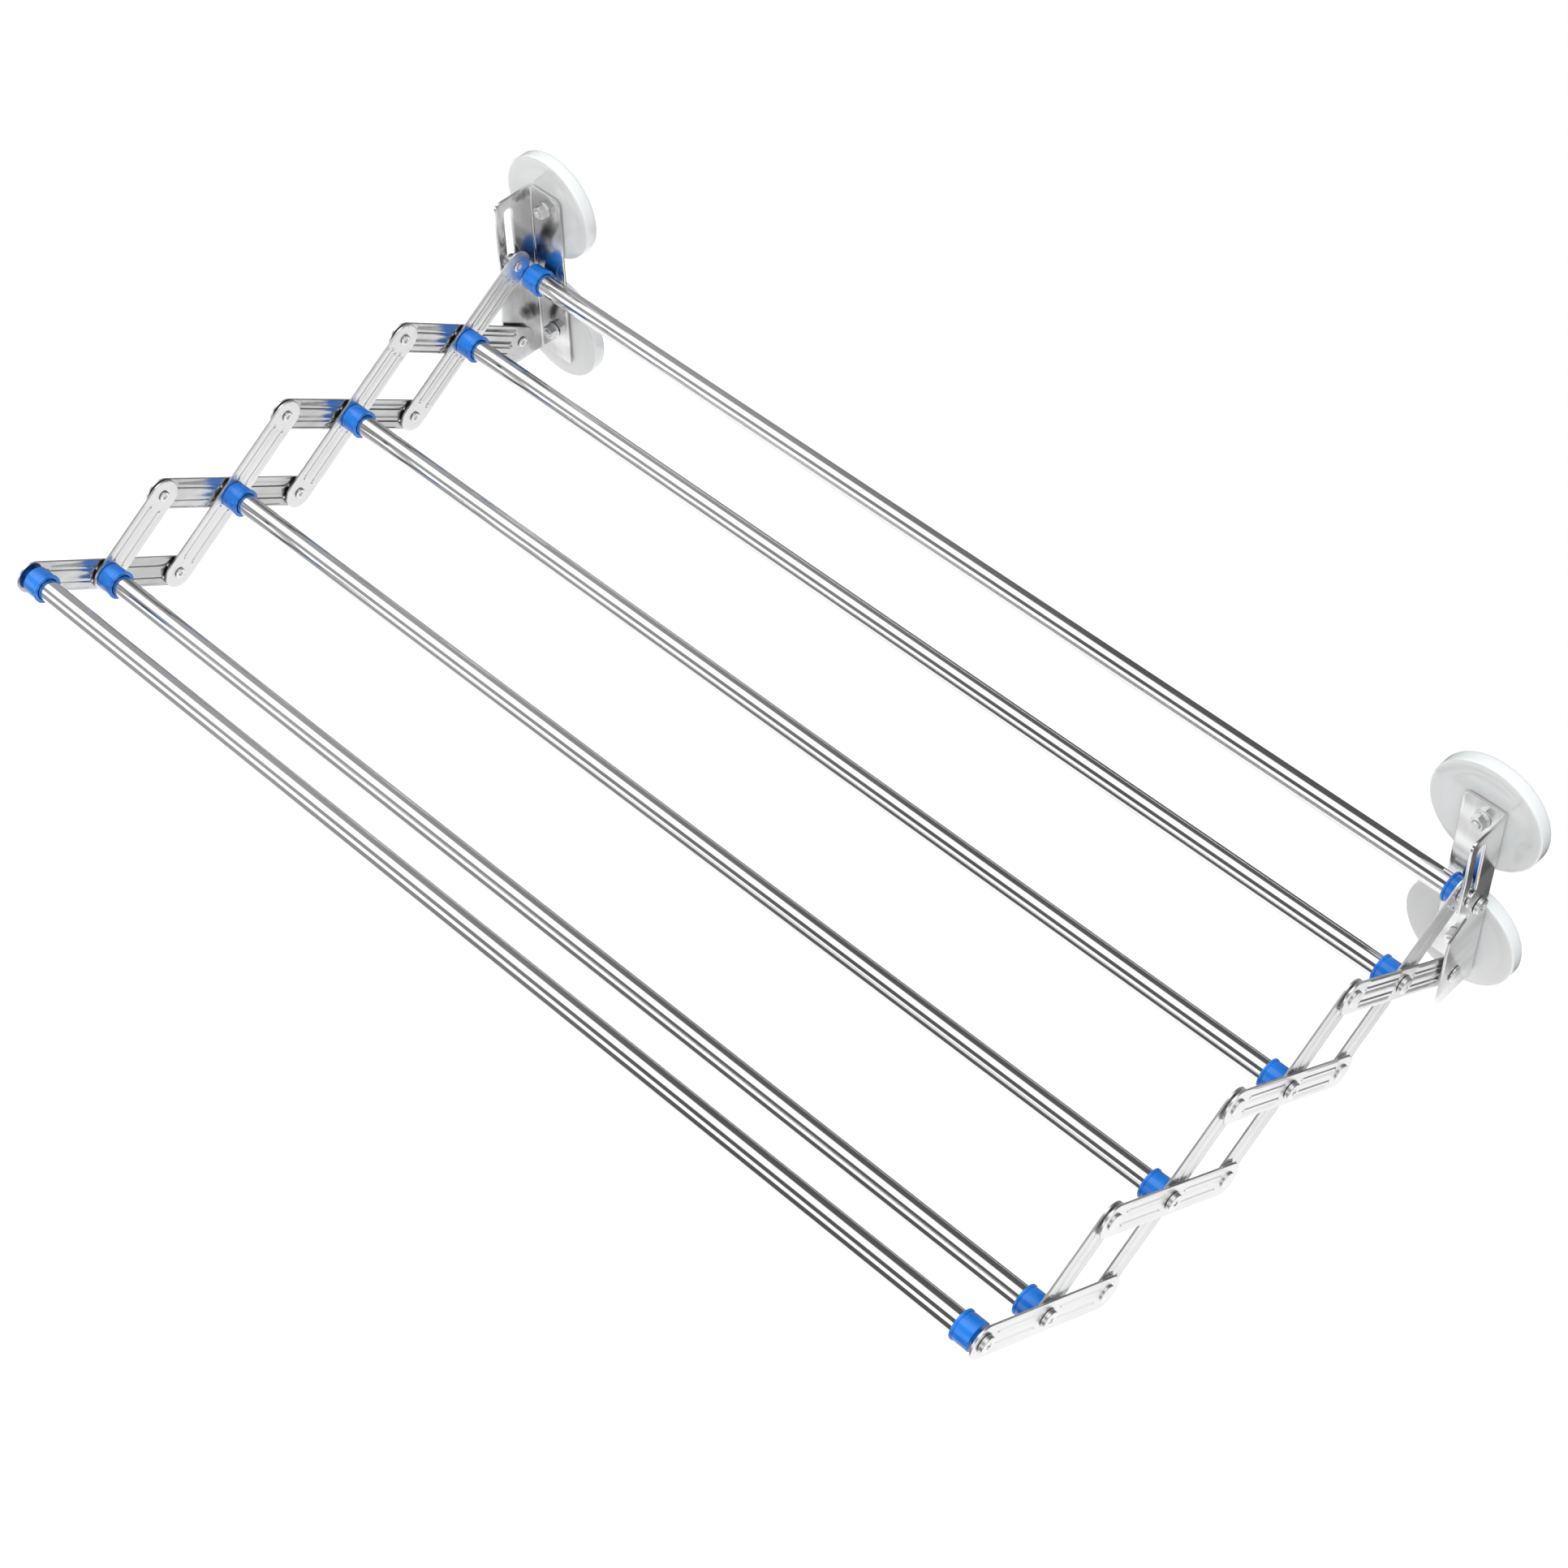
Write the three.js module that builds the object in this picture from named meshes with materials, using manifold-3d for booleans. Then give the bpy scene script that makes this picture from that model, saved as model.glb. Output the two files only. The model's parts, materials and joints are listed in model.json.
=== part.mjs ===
// Wall mounted extending drying rack: two scissor side frames carry five of six rails out from the wall.
// Millimetres, +Z up. X runs along the rails, the wall is the plane Y = 0 and the rack reaches out to -Y.
// The origin is on the wall, midway between the two brackets and midway between upper and lower wall pads.

import * as THREE from 'three';
import { mergeVertices } from 'three/addons/utils/BufferGeometryUtils.js';
import Module from 'manifold-3d';

const wasm = await Module();
wasm.setup();

// ---------------------------------------------------------------- driving dimensions

const SIDES = { left: -1, right: 1 };

// scissor links
const STAGES = 4;                   // crossings in each side frame
const HALF_LINK = 56;               // middle hole to end hole
const LINK_WIDTH = 20;
const LINK_SHEET = 1.2;
const LINK_GAP = 1.3;               // between the inner and the outer chain
const OPEN_ANGLE = THREE.MathUtils.degToRad(34.1);    // slope of a link with the rack pulled out
const FOLDED_ANGLE = THREE.MathUtils.degToRad(65);    // slope of a link with the rack pushed back

// rails and their end caps
const RAIL_SPAN = 715;              // between the inner faces of the two inner chains
const RAIL_DIAMETER = 13;
const RAIL_WALL = 0.6;
const CAP_MOUTH_GAP = 0.8;          // between the tube and the wall of the cap
const CAP_WALL = 1.2;
const CAP_LENGTH = 11;
const CAP_FLOOR = 2.5;
const CAP_LIP = 0.4;                // how far the rim stands out
const CAP_LIP_LENGTH = 1.2;
const CAP_PLUG = 14;                // how deep the cap's core reaches
const HUB_DIAMETER = 8.4;           // spacer hub on the rear and front caps

// fasteners
const SCREW_DIAMETER = 4.6;
const SCREW_HEAD = 10;
const SCREW_HEAD_HEIGHT = 2.6;
const SCREW_DEPTH = 9;              // past the base of the cap
const SCREW_WASHER = 11;
const SCREW_WASHER_HEIGHT = 0.7;
const SCREW_TOP = 5.2;              // flat top of the pan head
const SCREW_BROW = 9.6;             // where the head's side turns over into its top
const SCREW_BROW_HEIGHT = 1.95;
const RIVET_DIAMETER = 4.4;
const RIVET_HEAD = 10;
const RIVET_HEAD_HEIGHT = 2;
const RIVET_ROLL = 7.4;             // rolled end of a hollow rivet
const RIVET_ROLL_HEIGHT = 0.9;
const RIVET_ROLL_ROUND = 0.5;
const RIVET_HEAD_EDGE = 0.5;
const RIVET_CROWN = 6.8;            // where the head's side turns over into its top
const RIVET_CROWN_HEIGHT = 1.6;
const SHOULDER_DIAMETER = 10;       // spacing shoulder of a rivet, raised boss of a link

// wall brackets
const BRACKET_SHEET = 1.5;
const BRACKET_GAP = 2;              // between the outer chain and the side flange
const BRACKET_DEPTH = 21;           // wall pivot to the back of the wall flange
const WALL_FLANGE = 27;             // width across the wall flange
const BEND_RADIUS = 1.6;            // inside the fold
const CORNER_RADIUS = 5;
const FOOT = 18;                    // below the wall pivot
const LOBE_FRONT = 11.7;            // in front of the wall pivot
const SLIDE_PIN = 5.8;
const SLOT_WEB = 6.3;               // metal in front of the slot
const SLOT_END_WEB = 7.3;           // metal above the slot
const NOTCH_BACK = 2.5;             // how far behind the wall pivot the notch reaches
const NOTCH_TOP = 4.8;              // levels below the slide pin of the pulled-out rack
const NOTCH_ROOT = 15.8;
const NOTCH_END = 27.8;
const NOTCH_RADIUS = 2.5;
const BROW_RADIUS = 1;              // corners above the notch, below it and at the foot
const LOBE_RADIUS = 1.5;
const TOE_RADIUS = 2.5;
const HEEL_RADIUS = 2;              // lower corner of the wall flange

// wall pads, their studs and nuts
const PAD_DIAMETER = 70;
const PAD_THICKNESS = 8.6;
const PAD_EDGE = 1;
const STUD_DIAMETER = 4.8;
const STUD_BEYOND_NUT = 1.2;
const NUT_ACROSS_FLATS = 8;
const NUT_HEIGHT = 4.7;
const NUT_WASHER = 10.6;
const NUT_WASHER_HEIGHT = 0.8;
const LOWER_STUD = 21.3;            // above the bracket's bottom edge
const UPPER_STUD = 12.7;            // below its top edge

// clearances
const TOUCH = 0.3;                  // between pieces that rest on each other
const RUNNING = 0.3;                // round a pin or a screw
const SIDE_PLAY = 2.5;              // rear hub to the end of the first inner link
const REAR_CAP_GAP = 0.8;           // rear cap to the wall flange

// facets on a full circle
const FINE = 32;
const MEDIUM = 18;
const COARSE = 14;
const ARC_STEPS = 7;                // an arc in a flat outline has twice as many facets
const OVERSHOOT = 1;                // how far a cutting shape runs past what it cuts

// ---------------------------------------------------------------- derived layout

const slidePinFolded = 2 * HALF_LINK * Math.sin(FOLDED_ANGLE);   // above the wall pivot
const slotHalf = SLIDE_PIN / 2 + RUNNING;
const bracketTop = slidePinFolded + slotHalf + SLOT_END_WEB;
const bracketHeight = bracketTop + FOOT;
const studSpacing = bracketHeight - LOWER_STUD - UPPER_STUD;

const flangeBack = -(PAD_THICKNESS + TOUCH);
const flangeFront = flangeBack - BRACKET_SHEET;
const pivotY = flangeBack - BRACKET_DEPTH;
const pivotZ = -studSpacing / 2 - LOWER_STUD + FOOT;

// distances from the middle of the rack to each layer of a side frame
const innerFace = RAIL_SPAN / 2;
const innerBack = innerFace + LINK_SHEET;
const outerFace = innerBack + LINK_GAP;
const outerBack = outerFace + LINK_SHEET;
const flangeInner = outerBack + BRACKET_GAP;
const flangeOuter = flangeInner + BRACKET_SHEET;
const studX = flangeOuter - WALL_FLANGE / 2;
const studLevels = [-studSpacing / 2, studSpacing / 2];
const capBase = innerFace - TOUCH;

// pivots of one side frame with the rack pulled out, as [y, z]
const reach = HALF_LINK * Math.cos(OPEN_ANGLE);
const rise = HALF_LINK * Math.sin(OPEN_ANGLE);
const at = (steps, level) => [pivotY - steps * reach, pivotZ + level * rise];
const crossing = (stage) => at(2 * stage - 1, 1);
const upperTip = (stage) => at(2 * stage, 2);
const lowerTip = (stage) => at(2 * stage, 0);
const wallPivot = lowerTip(0);
const slidePin = upperTip(0);
const frontRail = upperTip(STAGES);

// the rear rail stands clear of the wall flange and of the first inner link's end
const capOutside = RAIL_DIAMETER / 2 + CAP_MOUTH_GAP + CAP_WALL;
const rearBack = BRACKET_DEPTH - BRACKET_SHEET - capOutside - CAP_LIP - REAR_CAP_GAP;
const rearDistance = LINK_WIDTH / 2 + HUB_DIAMETER / 2 + SIDE_PLAY;
const rearDrop = Math.sqrt(rearDistance ** 2 - rearBack ** 2);
const rearRail = [slidePin[0] + rearBack, slidePin[1] - rearDrop];

// ---------------------------------------------------------------- materials

function finish(color, roughness, metalness) {
  return new THREE.MeshStandardMaterial({ color, roughness, metalness });
}

const polishedSteel = finish(0xd8dadc, 0.18, 1);
const linkSteel = finish(0xc9cbcc, 0.3, 1);
const zincSteel = finish(0xbfc3c4, 0.35, 1);
const bluePlastic = finish(0x1f66d6, 0.3, 0);
const milkyPlastic = finish(0xeef0f0, 0.15, 0);

// ---------------------------------------------------------------- shape helpers

// A closed geometry as a manifold-3d solid.
function solid(geometry) {
  const bare = geometry.index ? geometry.clone() : geometry;
  bare.deleteAttribute('normal');
  bare.deleteAttribute('uv');
  const merged = mergeVertices(bare, 1e-4);
  return new wasm.Manifold(new wasm.Mesh({
    numProp: 3,
    vertProperties: new Float32Array(merged.attributes.position.array),
    triVerts: new Uint32Array(merged.index.array),
  }));
}

// A manifold-3d solid as a geometry.
function surface(body) {
  const mesh = body.getMesh();
  const geometry = new THREE.BufferGeometry();
  geometry.setAttribute('position', new THREE.BufferAttribute(mesh.vertProperties, 3));
  geometry.setIndex(new THREE.BufferAttribute(mesh.triVerts, 1));
  geometry.computeVertexNormals();
  return geometry;
}

// A turned piece on the X axis: profile points are [distance along X, radius].
// A profile that starts and ends on the axis is solid; any other one closes on itself as a ring.
function turned(profile, facets) {
  const points = profile.map(([along, radius]) => new THREE.Vector2(radius, along));
  const onAxis = profile[0][1] === 0;
  if (!onAxis) points.push(points[0].clone());
  const geometry = new THREE.LatheGeometry(points, facets);
  geometry.rotateZ(-Math.PI / 2);
  return geometry;
}

// The same piece facing the other way along X when side is -1.
function facing(geometry, side) {
  if (side > 0) return geometry;
  const flipped = mergeVertices(geometry).scale(-1, 1, 1);
  const order = flipped.index.array;
  for (let i = 0; i < order.length; i += 3) [order[i], order[i + 1]] = [order[i + 1], order[i]];
  flipped.computeVertexNormals();
  return flipped;
}

// A flat outline given thickness along +Z.
function extruded(shape, depth) {
  return new THREE.ExtrudeGeometry(shape, { depth, bevelEnabled: false, curveSegments: ARC_STEPS });
}

// A flat outline drawn as (y, z) and given thickness from X = low to X = high.
function sheetAcrossX(shape, low, high) {
  const geometry = extruded(shape, high - low);
  geometry.rotateY(Math.PI / 2);
  geometry.rotateX(Math.PI / 2);
  return geometry.translate(low, 0, 0);
}

function circularHole([y, z], radius) {
  const hole = new THREE.Path();
  hole.absarc(y, z, radius, 0, 2 * Math.PI, true);
  return hole;
}

// An outline through [x, y, radius] corners, each corner rounded by its radius.
function roundedOutline(corners) {
  const shape = new THREE.Shape();
  corners.forEach(([x, y, radius], i) => {
    const corner = new THREE.Vector2(x, y);
    const before = new THREE.Vector2(...corners.at(i - 1).slice(0, 2)).sub(corner);
    const after = new THREE.Vector2(...corners[(i + 1) % corners.length].slice(0, 2)).sub(corner);
    const half = Math.acos(before.dot(after) / (before.length() * after.length())) / 2;
    const back = radius / Math.tan(half);
    const start = corner.clone().addScaledVector(before.normalize(), back);
    const end = corner.clone().addScaledVector(after.normalize(), back);
    if (i === 0) shape.moveTo(start.x, start.y);
    else shape.lineTo(start.x, start.y);
    if (radius > 0) shape.quadraticCurveTo(x, y, end.x, end.y);
  });
  shape.closePath();
  return shape;
}

const rack = new THREE.Group();

function place(name, geometry, material, x = 0, [y, z] = [0, 0]) {
  const mesh = new THREE.Mesh(geometry, material);
  mesh.name = name;
  mesh.position.set(x, y, z);
  rack.add(mesh);
}

// ---------------------------------------------------------------- links

// A round-ended strip from one hole to another, holes at the given distances along it.
// The strip starts at the group's origin and runs along -Y, so a mesh rotation gives it its slope.
function linkShape(length, holes) {
  const end = LINK_WIDTH / 2;
  const shape = new THREE.Shape();
  shape.absarc(0, 0, end, -Math.PI / 2, Math.PI / 2, false);
  shape.absarc(-length, 0, end, Math.PI / 2, 3 * Math.PI / 2, false);
  shape.closePath();
  holes.forEach(([distance, radius]) => shape.holes.push(circularHole([-distance, 0], radius)));
  return shape;
}

const screwHole = SCREW_DIAMETER / 2 + RUNNING;
const rivetHole = RIVET_DIAMETER / 2 + RUNNING;

// Inner links hang from an upper pivot; the last one stops at its crossing.
function innerLink(stage) {
  const half = stage === STAGES;
  const holes = [[0, rivetHole], [HALF_LINK, screwHole]];
  if (!half) holes.push([2 * HALF_LINK, rivetHole]);
  const length = half ? HALF_LINK : 2 * HALF_LINK;
  return sheetAcrossX(linkShape(length, holes), innerFace, innerBack);
}

// The rivet headed on an outer link: domed head outside, spacing shoulder, shank and rolled end inside.
function linkRivet() {
  const rollInner = innerFace - TOUCH - RIVET_ROLL_HEIGHT;
  return turned([
    [rollInner, 0],
    [rollInner, RIVET_ROLL / 2 - RIVET_ROLL_ROUND],
    [rollInner + RIVET_ROLL_ROUND, RIVET_ROLL / 2],
    [innerFace - TOUCH, RIVET_ROLL / 2],
    [innerFace - TOUCH, RIVET_DIAMETER / 2],
    [innerBack + TOUCH, RIVET_DIAMETER / 2],
    [innerBack + TOUCH, SHOULDER_DIAMETER / 2],
    [outerFace + LINK_SHEET / 2, SHOULDER_DIAMETER / 2],
    [outerBack + RIVET_HEAD_EDGE, RIVET_HEAD / 2],
    [outerBack + RIVET_CROWN_HEIGHT, RIVET_CROWN / 2],
    [outerBack + RIVET_HEAD_HEIGHT, 0],
  ], COARSE);
}

// The raised boss round an outer link's screw hole, on the side of the inner chain.
function linkBoss() {
  return turned([
    [innerBack + TOUCH, screwHole],
    [innerBack + TOUCH, SHOULDER_DIAMETER / 2],
    [outerFace + LINK_SHEET / 2, SHOULDER_DIAMETER / 2],
    [outerFace + LINK_SHEET / 2, screwHole],
  ], COARSE);
}

// Outer links rise from a lower pivot. The first turns on the wall pivot and the last carries the front rail.
function outerLink(stage) {
  const first = stage === 1;
  const last = stage === STAGES;
  const holes = [[HALF_LINK, screwHole]];
  if (first) holes.push([0, rivetHole]);
  if (last) holes.push([2 * HALF_LINK, screwHole]);
  const plate = sheetAcrossX(linkShape(2 * HALF_LINK, holes), outerFace, outerBack);
  let body = solid(plate).add(solid(linkBoss().translate(0, -HALF_LINK, 0)));
  if (!first) body = body.add(solid(linkRivet()));
  if (!last) body = body.add(solid(linkRivet().translate(0, -2 * HALF_LINK, 0)));
  return surface(body);
}

function addLinks(sideName, side) {
  for (let stage = 1; stage <= STAGES; stage += 1) {
    const inner = facing(innerLink(stage).rotateX(OPEN_ANGLE), side);
    const outer = facing(outerLink(stage).rotateX(-OPEN_ANGLE), side);
    place(`inner_link_${stage}_${sideName}`, inner, linkSteel, 0, upperTip(stage - 1));
    place(`outer_link_${stage}_${sideName}`, outer, linkSteel, 0, lowerTip(stage - 1));
  }
}

// ---------------------------------------------------------------- rails, caps and screws

// The rails from the wall outwards: where each one is, and the face that its screw head bears on.
const rails = [
  { where: rearRail, bearing: flangeOuter, hubEnd: flangeInner - TOUCH },
  ...Array.from({ length: STAGES }, (_, i) => ({
    where: crossing(i + 1),
    bearing: outerBack,
    hubEnd: capBase,
  })),
  { where: frontRail, bearing: outerBack, hubEnd: outerFace - TOUCH },
];

const boreRadius = SCREW_DIAMETER / 2 + RUNNING;
const tubeInner = RAIL_DIAMETER / 2 - RAIL_WALL;

function rail() {
  const end = capBase - CAP_FLOOR - TOUCH;
  return turned([
    [-end, tubeInner],
    [-end, RAIL_DIAMETER / 2],
    [end, RAIL_DIAMETER / 2],
    [end, tubeInner],
  ], MEDIUM);
}

// The cap is a cup round the end of the tube with a core that plugs it, bored right through for the screw.
function endCap(hubEnd) {
  const cup = capOutside - CAP_WALL;
  const core = tubeInner - TOUCH;
  const mouth = capBase - CAP_LENGTH;
  const hub = hubEnd > capBase ? [[capBase, HUB_DIAMETER / 2], [hubEnd, HUB_DIAMETER / 2]] : [];
  return turned([
    [capBase - CAP_PLUG, boreRadius],
    [capBase - CAP_PLUG, core],
    [capBase - CAP_FLOOR, core],
    [capBase - CAP_FLOOR, cup],
    [mouth, cup],
    [mouth, capOutside + CAP_LIP],
    [mouth + CAP_LIP_LENGTH, capOutside + CAP_LIP],
    [mouth + CAP_LIP_LENGTH, capOutside],
    [capBase, capOutside],
    ...hub,
    [hubEnd, boreRadius],
  ], MEDIUM);
}

// A pan head with its washer and shank.
function screw(bearing) {
  const under = bearing + TOUCH;
  return turned([
    [capBase - SCREW_DEPTH, 0],
    [capBase - SCREW_DEPTH, SCREW_DIAMETER / 2],
    [under, SCREW_DIAMETER / 2],
    [under, SCREW_WASHER / 2],
    [under + SCREW_WASHER_HEIGHT, SCREW_WASHER / 2],
    [under + SCREW_WASHER_HEIGHT, SCREW_HEAD / 2],
    [under + SCREW_BROW_HEIGHT, SCREW_BROW / 2],
    [under + SCREW_HEAD_HEIGHT, SCREW_TOP / 2],
    [under + SCREW_HEAD_HEIGHT, 0],
  ], COARSE);
}

function addRails() {
  rails.forEach(({ where, bearing, hubEnd }, i) => {
    const number = i + 1;
    place(`rail_${number}`, rail(), polishedSteel, 0, where);
    for (const [sideName, side] of Object.entries(SIDES)) {
      place(`cap_${number}_${sideName}`, facing(endCap(hubEnd), side), bluePlastic, 0, where);
      place(`screw_${number}_${sideName}`, facing(screw(bearing), side), zincSteel, 0, where);
    }
  });
}

// ---------------------------------------------------------------- rivets at the bracket

// Domed head outside the flange, shank through it, shoulder, shank through the link and rolled end.
function bracketRivet(shankRadius, linkInner, linkBack) {
  const rollInner = linkInner - TOUCH - RIVET_ROLL_HEIGHT;
  return turned([
    [rollInner, 0],
    [rollInner, RIVET_ROLL / 2 - RIVET_ROLL_ROUND],
    [rollInner + RIVET_ROLL_ROUND, RIVET_ROLL / 2],
    [linkInner - TOUCH, RIVET_ROLL / 2],
    [linkInner - TOUCH, RIVET_DIAMETER / 2],
    [linkBack + TOUCH, RIVET_DIAMETER / 2],
    [linkBack + TOUCH, SHOULDER_DIAMETER / 2],
    [flangeInner - TOUCH, SHOULDER_DIAMETER / 2],
    [flangeInner - TOUCH, shankRadius],
    [flangeOuter + TOUCH, shankRadius],
    [flangeOuter + TOUCH, RIVET_HEAD / 2],
    [flangeOuter + TOUCH + RIVET_HEAD_EDGE, RIVET_HEAD / 2],
    [flangeOuter + TOUCH + RIVET_CROWN_HEIGHT, RIVET_CROWN / 2],
    [flangeOuter + TOUCH + RIVET_HEAD_HEIGHT, 0],
  ], COARSE);
}

function addBracketRivets(sideName, side) {
  const slide = bracketRivet(SLIDE_PIN / 2, innerFace, innerBack);
  const pivot = bracketRivet(RIVET_DIAMETER / 2, outerFace, outerBack);
  place(`slide_rivet_${sideName}`, facing(slide, side), zincSteel, 0, slidePin);
  place(`pivot_rivet_${sideName}`, facing(pivot, side), zincSteel, 0, wallPivot);
}

// ---------------------------------------------------------------- wall brackets

// Plan of the bent sheet, seen from above: the side flange runs out to -Y, the wall flange inwards.
function bentSheet(front) {
  const outerBend = BEND_RADIUS + BRACKET_SHEET;
  const inward = flangeOuter - WALL_FLANGE;
  const shape = new THREE.Shape();
  shape.moveTo(flangeOuter, front);
  shape.lineTo(flangeOuter, flangeBack - outerBend);
  shape.absarc(flangeOuter - outerBend, flangeBack - outerBend, outerBend, 0, Math.PI / 2, false);
  shape.lineTo(inward, flangeBack);
  shape.lineTo(inward, flangeFront);
  shape.lineTo(flangeInner - BEND_RADIUS, flangeFront);
  shape.absarc(flangeInner - BEND_RADIUS, flangeFront - BEND_RADIUS, BEND_RADIUS, Math.PI / 2, 0, true);
  shape.lineTo(flangeInner, front);
  shape.closePath();
  return extruded(shape, bracketHeight).translate(0, 0, pivotZ - FOOT);
}

// Side view of the bracket as (y, z): straight at the wall, slotted and notched in front.
function sideOutline(behind) {
  const top = pivotZ + bracketTop;
  const bottom = pivotZ - FOOT;
  const upperFront = pivotY - slotHalf - SLOT_WEB;
  const lobeFront = pivotY - LOBE_FRONT;
  const shape = roundedOutline([
    [behind, bottom, 0],
    [behind, top, 0],
    [upperFront, top, CORNER_RADIUS],
    [upperFront, slidePin[1] - NOTCH_TOP, BROW_RADIUS],
    [pivotY + NOTCH_BACK, slidePin[1] - NOTCH_ROOT, NOTCH_RADIUS],
    [lobeFront, slidePin[1] - NOTCH_END, LOBE_RADIUS],
    [lobeFront, bottom, TOE_RADIUS],
  ]);
  const slot = new THREE.Path();
  slot.absarc(pivotY, pivotZ + slidePinFolded, slotHalf, 0, Math.PI, false);
  slot.absarc(pivotY, slidePin[1], slotHalf, Math.PI, 2 * Math.PI, false);
  slot.closePath();
  shape.holes.push(slot);
  shape.holes.push(circularHole(wallPivot, rivetHole));
  shape.holes.push(circularHole(rearRail, screwHole));
  return shape;
}

// Front view of the wall flange as (x, z), with a hole for each stud.
function wallOutline(beyond) {
  const top = pivotZ + bracketTop;
  const bottom = pivotZ - FOOT;
  const inward = flangeOuter - WALL_FLANGE;
  const shape = roundedOutline([
    [beyond, bottom, 0],
    [beyond, top, 0],
    [inward, top, CORNER_RADIUS],
    [inward, bottom, HEEL_RADIUS],
  ]);
  for (const z of studLevels) shape.holes.push(circularHole([studX, z], STUD_DIAMETER / 2 + RUNNING));
  return shape;
}

function bracket() {
  const front = pivotY - Math.max(LOBE_FRONT, slotHalf + SLOT_WEB) - OVERSHOOT;
  const beyond = flangeOuter + OVERSHOOT;
  const sheet = solid(bentSheet(front));
  const sidePrism = solid(sheetAcrossX(sideOutline(OVERSHOOT), studX - WALL_FLANGE, beyond));
  const wallPrism = extruded(wallOutline(beyond), OVERSHOOT - front);
  wallPrism.rotateX(Math.PI / 2).translate(0, OVERSHOOT, 0);
  return surface(sheet.intersect(sidePrism).intersect(solid(wallPrism)));
}

// ---------------------------------------------------------------- wall pads and nuts

// A piece turned about X, stood on the wall so that its axis points out of it.
const outOfWall = (geometry) => geometry.rotateZ(-Math.PI / 2);

function pad() {
  const studEnd = -flangeFront + TOUCH + NUT_WASHER_HEIGHT + NUT_HEIGHT + STUD_BEYOND_NUT;
  return outOfWall(turned([
    [0, 0],
    [0, PAD_DIAMETER / 2 - PAD_EDGE],
    [PAD_EDGE, PAD_DIAMETER / 2],
    [PAD_THICKNESS - PAD_EDGE, PAD_DIAMETER / 2],
    [PAD_THICKNESS, PAD_DIAMETER / 2 - PAD_EDGE],
    [PAD_THICKNESS, STUD_DIAMETER / 2],
    [studEnd, STUD_DIAMETER / 2],
    [studEnd, 0],
  ], FINE));
}

function nut() {
  const hole = STUD_DIAMETER / 2 + RUNNING;
  const washer = turned([
    [0, hole],
    [0, NUT_WASHER / 2],
    [NUT_WASHER_HEIGHT, NUT_WASHER / 2],
    [NUT_WASHER_HEIGHT, hole],
  ], COARSE);
  const corners = NUT_ACROSS_FLATS / Math.sqrt(3);
  const hexagon = turned([
    [NUT_WASHER_HEIGHT / 2, hole],
    [NUT_WASHER_HEIGHT / 2, corners],
    [NUT_WASHER_HEIGHT + NUT_HEIGHT, corners],
    [NUT_WASHER_HEIGHT + NUT_HEIGHT, hole],
  ], 6);
  const bore = turned([
    [-OVERSHOOT, 0],
    [-OVERSHOOT, hole],
    [NUT_WASHER_HEIGHT + NUT_HEIGHT + OVERSHOOT, hole],
    [NUT_WASHER_HEIGHT + NUT_HEIGHT + OVERSHOOT, 0],
  ], COARSE);
  return outOfWall(surface(solid(washer).add(solid(hexagon)).subtract(solid(bore))));
}

function addWallFixings(sideName, side) {
  place(`bracket_${sideName}`, facing(bracket(), side), linkSteel);
  ['lower', 'upper'].forEach((level, i) => {
    place(`pad_${sideName}_${level}`, pad(), milkyPlastic, side * studX, [0, studLevels[i]]);
    place(`nut_${sideName}_${level}`, nut(), zincSteel, side * studX, [flangeFront - TOUCH, studLevels[i]]);
  });
}

// ---------------------------------------------------------------- the rack

for (const [sideName, side] of Object.entries(SIDES)) {
  addWallFixings(sideName, side);
  addBracketRivets(sideName, side);
  addLinks(sideName, side);
}
addRails();

export default rack;
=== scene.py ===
# %% [markdown]
# # A wall mounted extending drying rack
# Six polished rails ride on two scissor frames that pull out from a pair of wall brackets.
# The packed model is the frame that everything is built on. It is loaded first, and every place
# below is read from it: a pivot from its joint, a layer of sheet metal from the box of its node.

# %% Load the frame
import json

import bmesh
import bpy
import numpy as np
from mathutils import Matrix, Vector
from mathutils.geometry import delaunay_2d_cdt


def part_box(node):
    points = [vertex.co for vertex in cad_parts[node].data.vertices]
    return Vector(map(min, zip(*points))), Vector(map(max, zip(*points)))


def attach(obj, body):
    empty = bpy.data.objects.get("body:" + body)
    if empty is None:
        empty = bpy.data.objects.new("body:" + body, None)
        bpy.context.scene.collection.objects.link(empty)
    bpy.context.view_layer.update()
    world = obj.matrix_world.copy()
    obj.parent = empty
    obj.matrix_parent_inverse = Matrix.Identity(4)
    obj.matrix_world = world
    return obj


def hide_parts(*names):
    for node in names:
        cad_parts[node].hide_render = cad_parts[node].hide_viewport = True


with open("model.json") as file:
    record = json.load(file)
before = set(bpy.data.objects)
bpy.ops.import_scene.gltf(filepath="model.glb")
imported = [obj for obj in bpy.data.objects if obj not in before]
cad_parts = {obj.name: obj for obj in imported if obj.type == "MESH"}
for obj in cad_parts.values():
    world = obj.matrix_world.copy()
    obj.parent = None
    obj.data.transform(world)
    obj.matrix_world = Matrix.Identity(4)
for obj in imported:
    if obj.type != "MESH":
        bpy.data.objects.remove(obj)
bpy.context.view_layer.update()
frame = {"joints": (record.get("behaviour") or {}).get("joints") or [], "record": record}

MM = 0.001
SIDES = {"left": -1, "right": 1}
STAGES = 4

bodies = frame["record"]["behaviour"]["bodies"]
body_of = {node: body for body, nodes in bodies.items() for node in nodes}

# %% [markdown]
# ## Where things are
# Seen from the side, a scissor frame is a zigzag of pivots. The joints give the wall pivot, the
# crossings and the lower tips. A link is as long above its crossing as below it, so each upper
# tip is its crossing mirrored from the lower end of the link.

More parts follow.
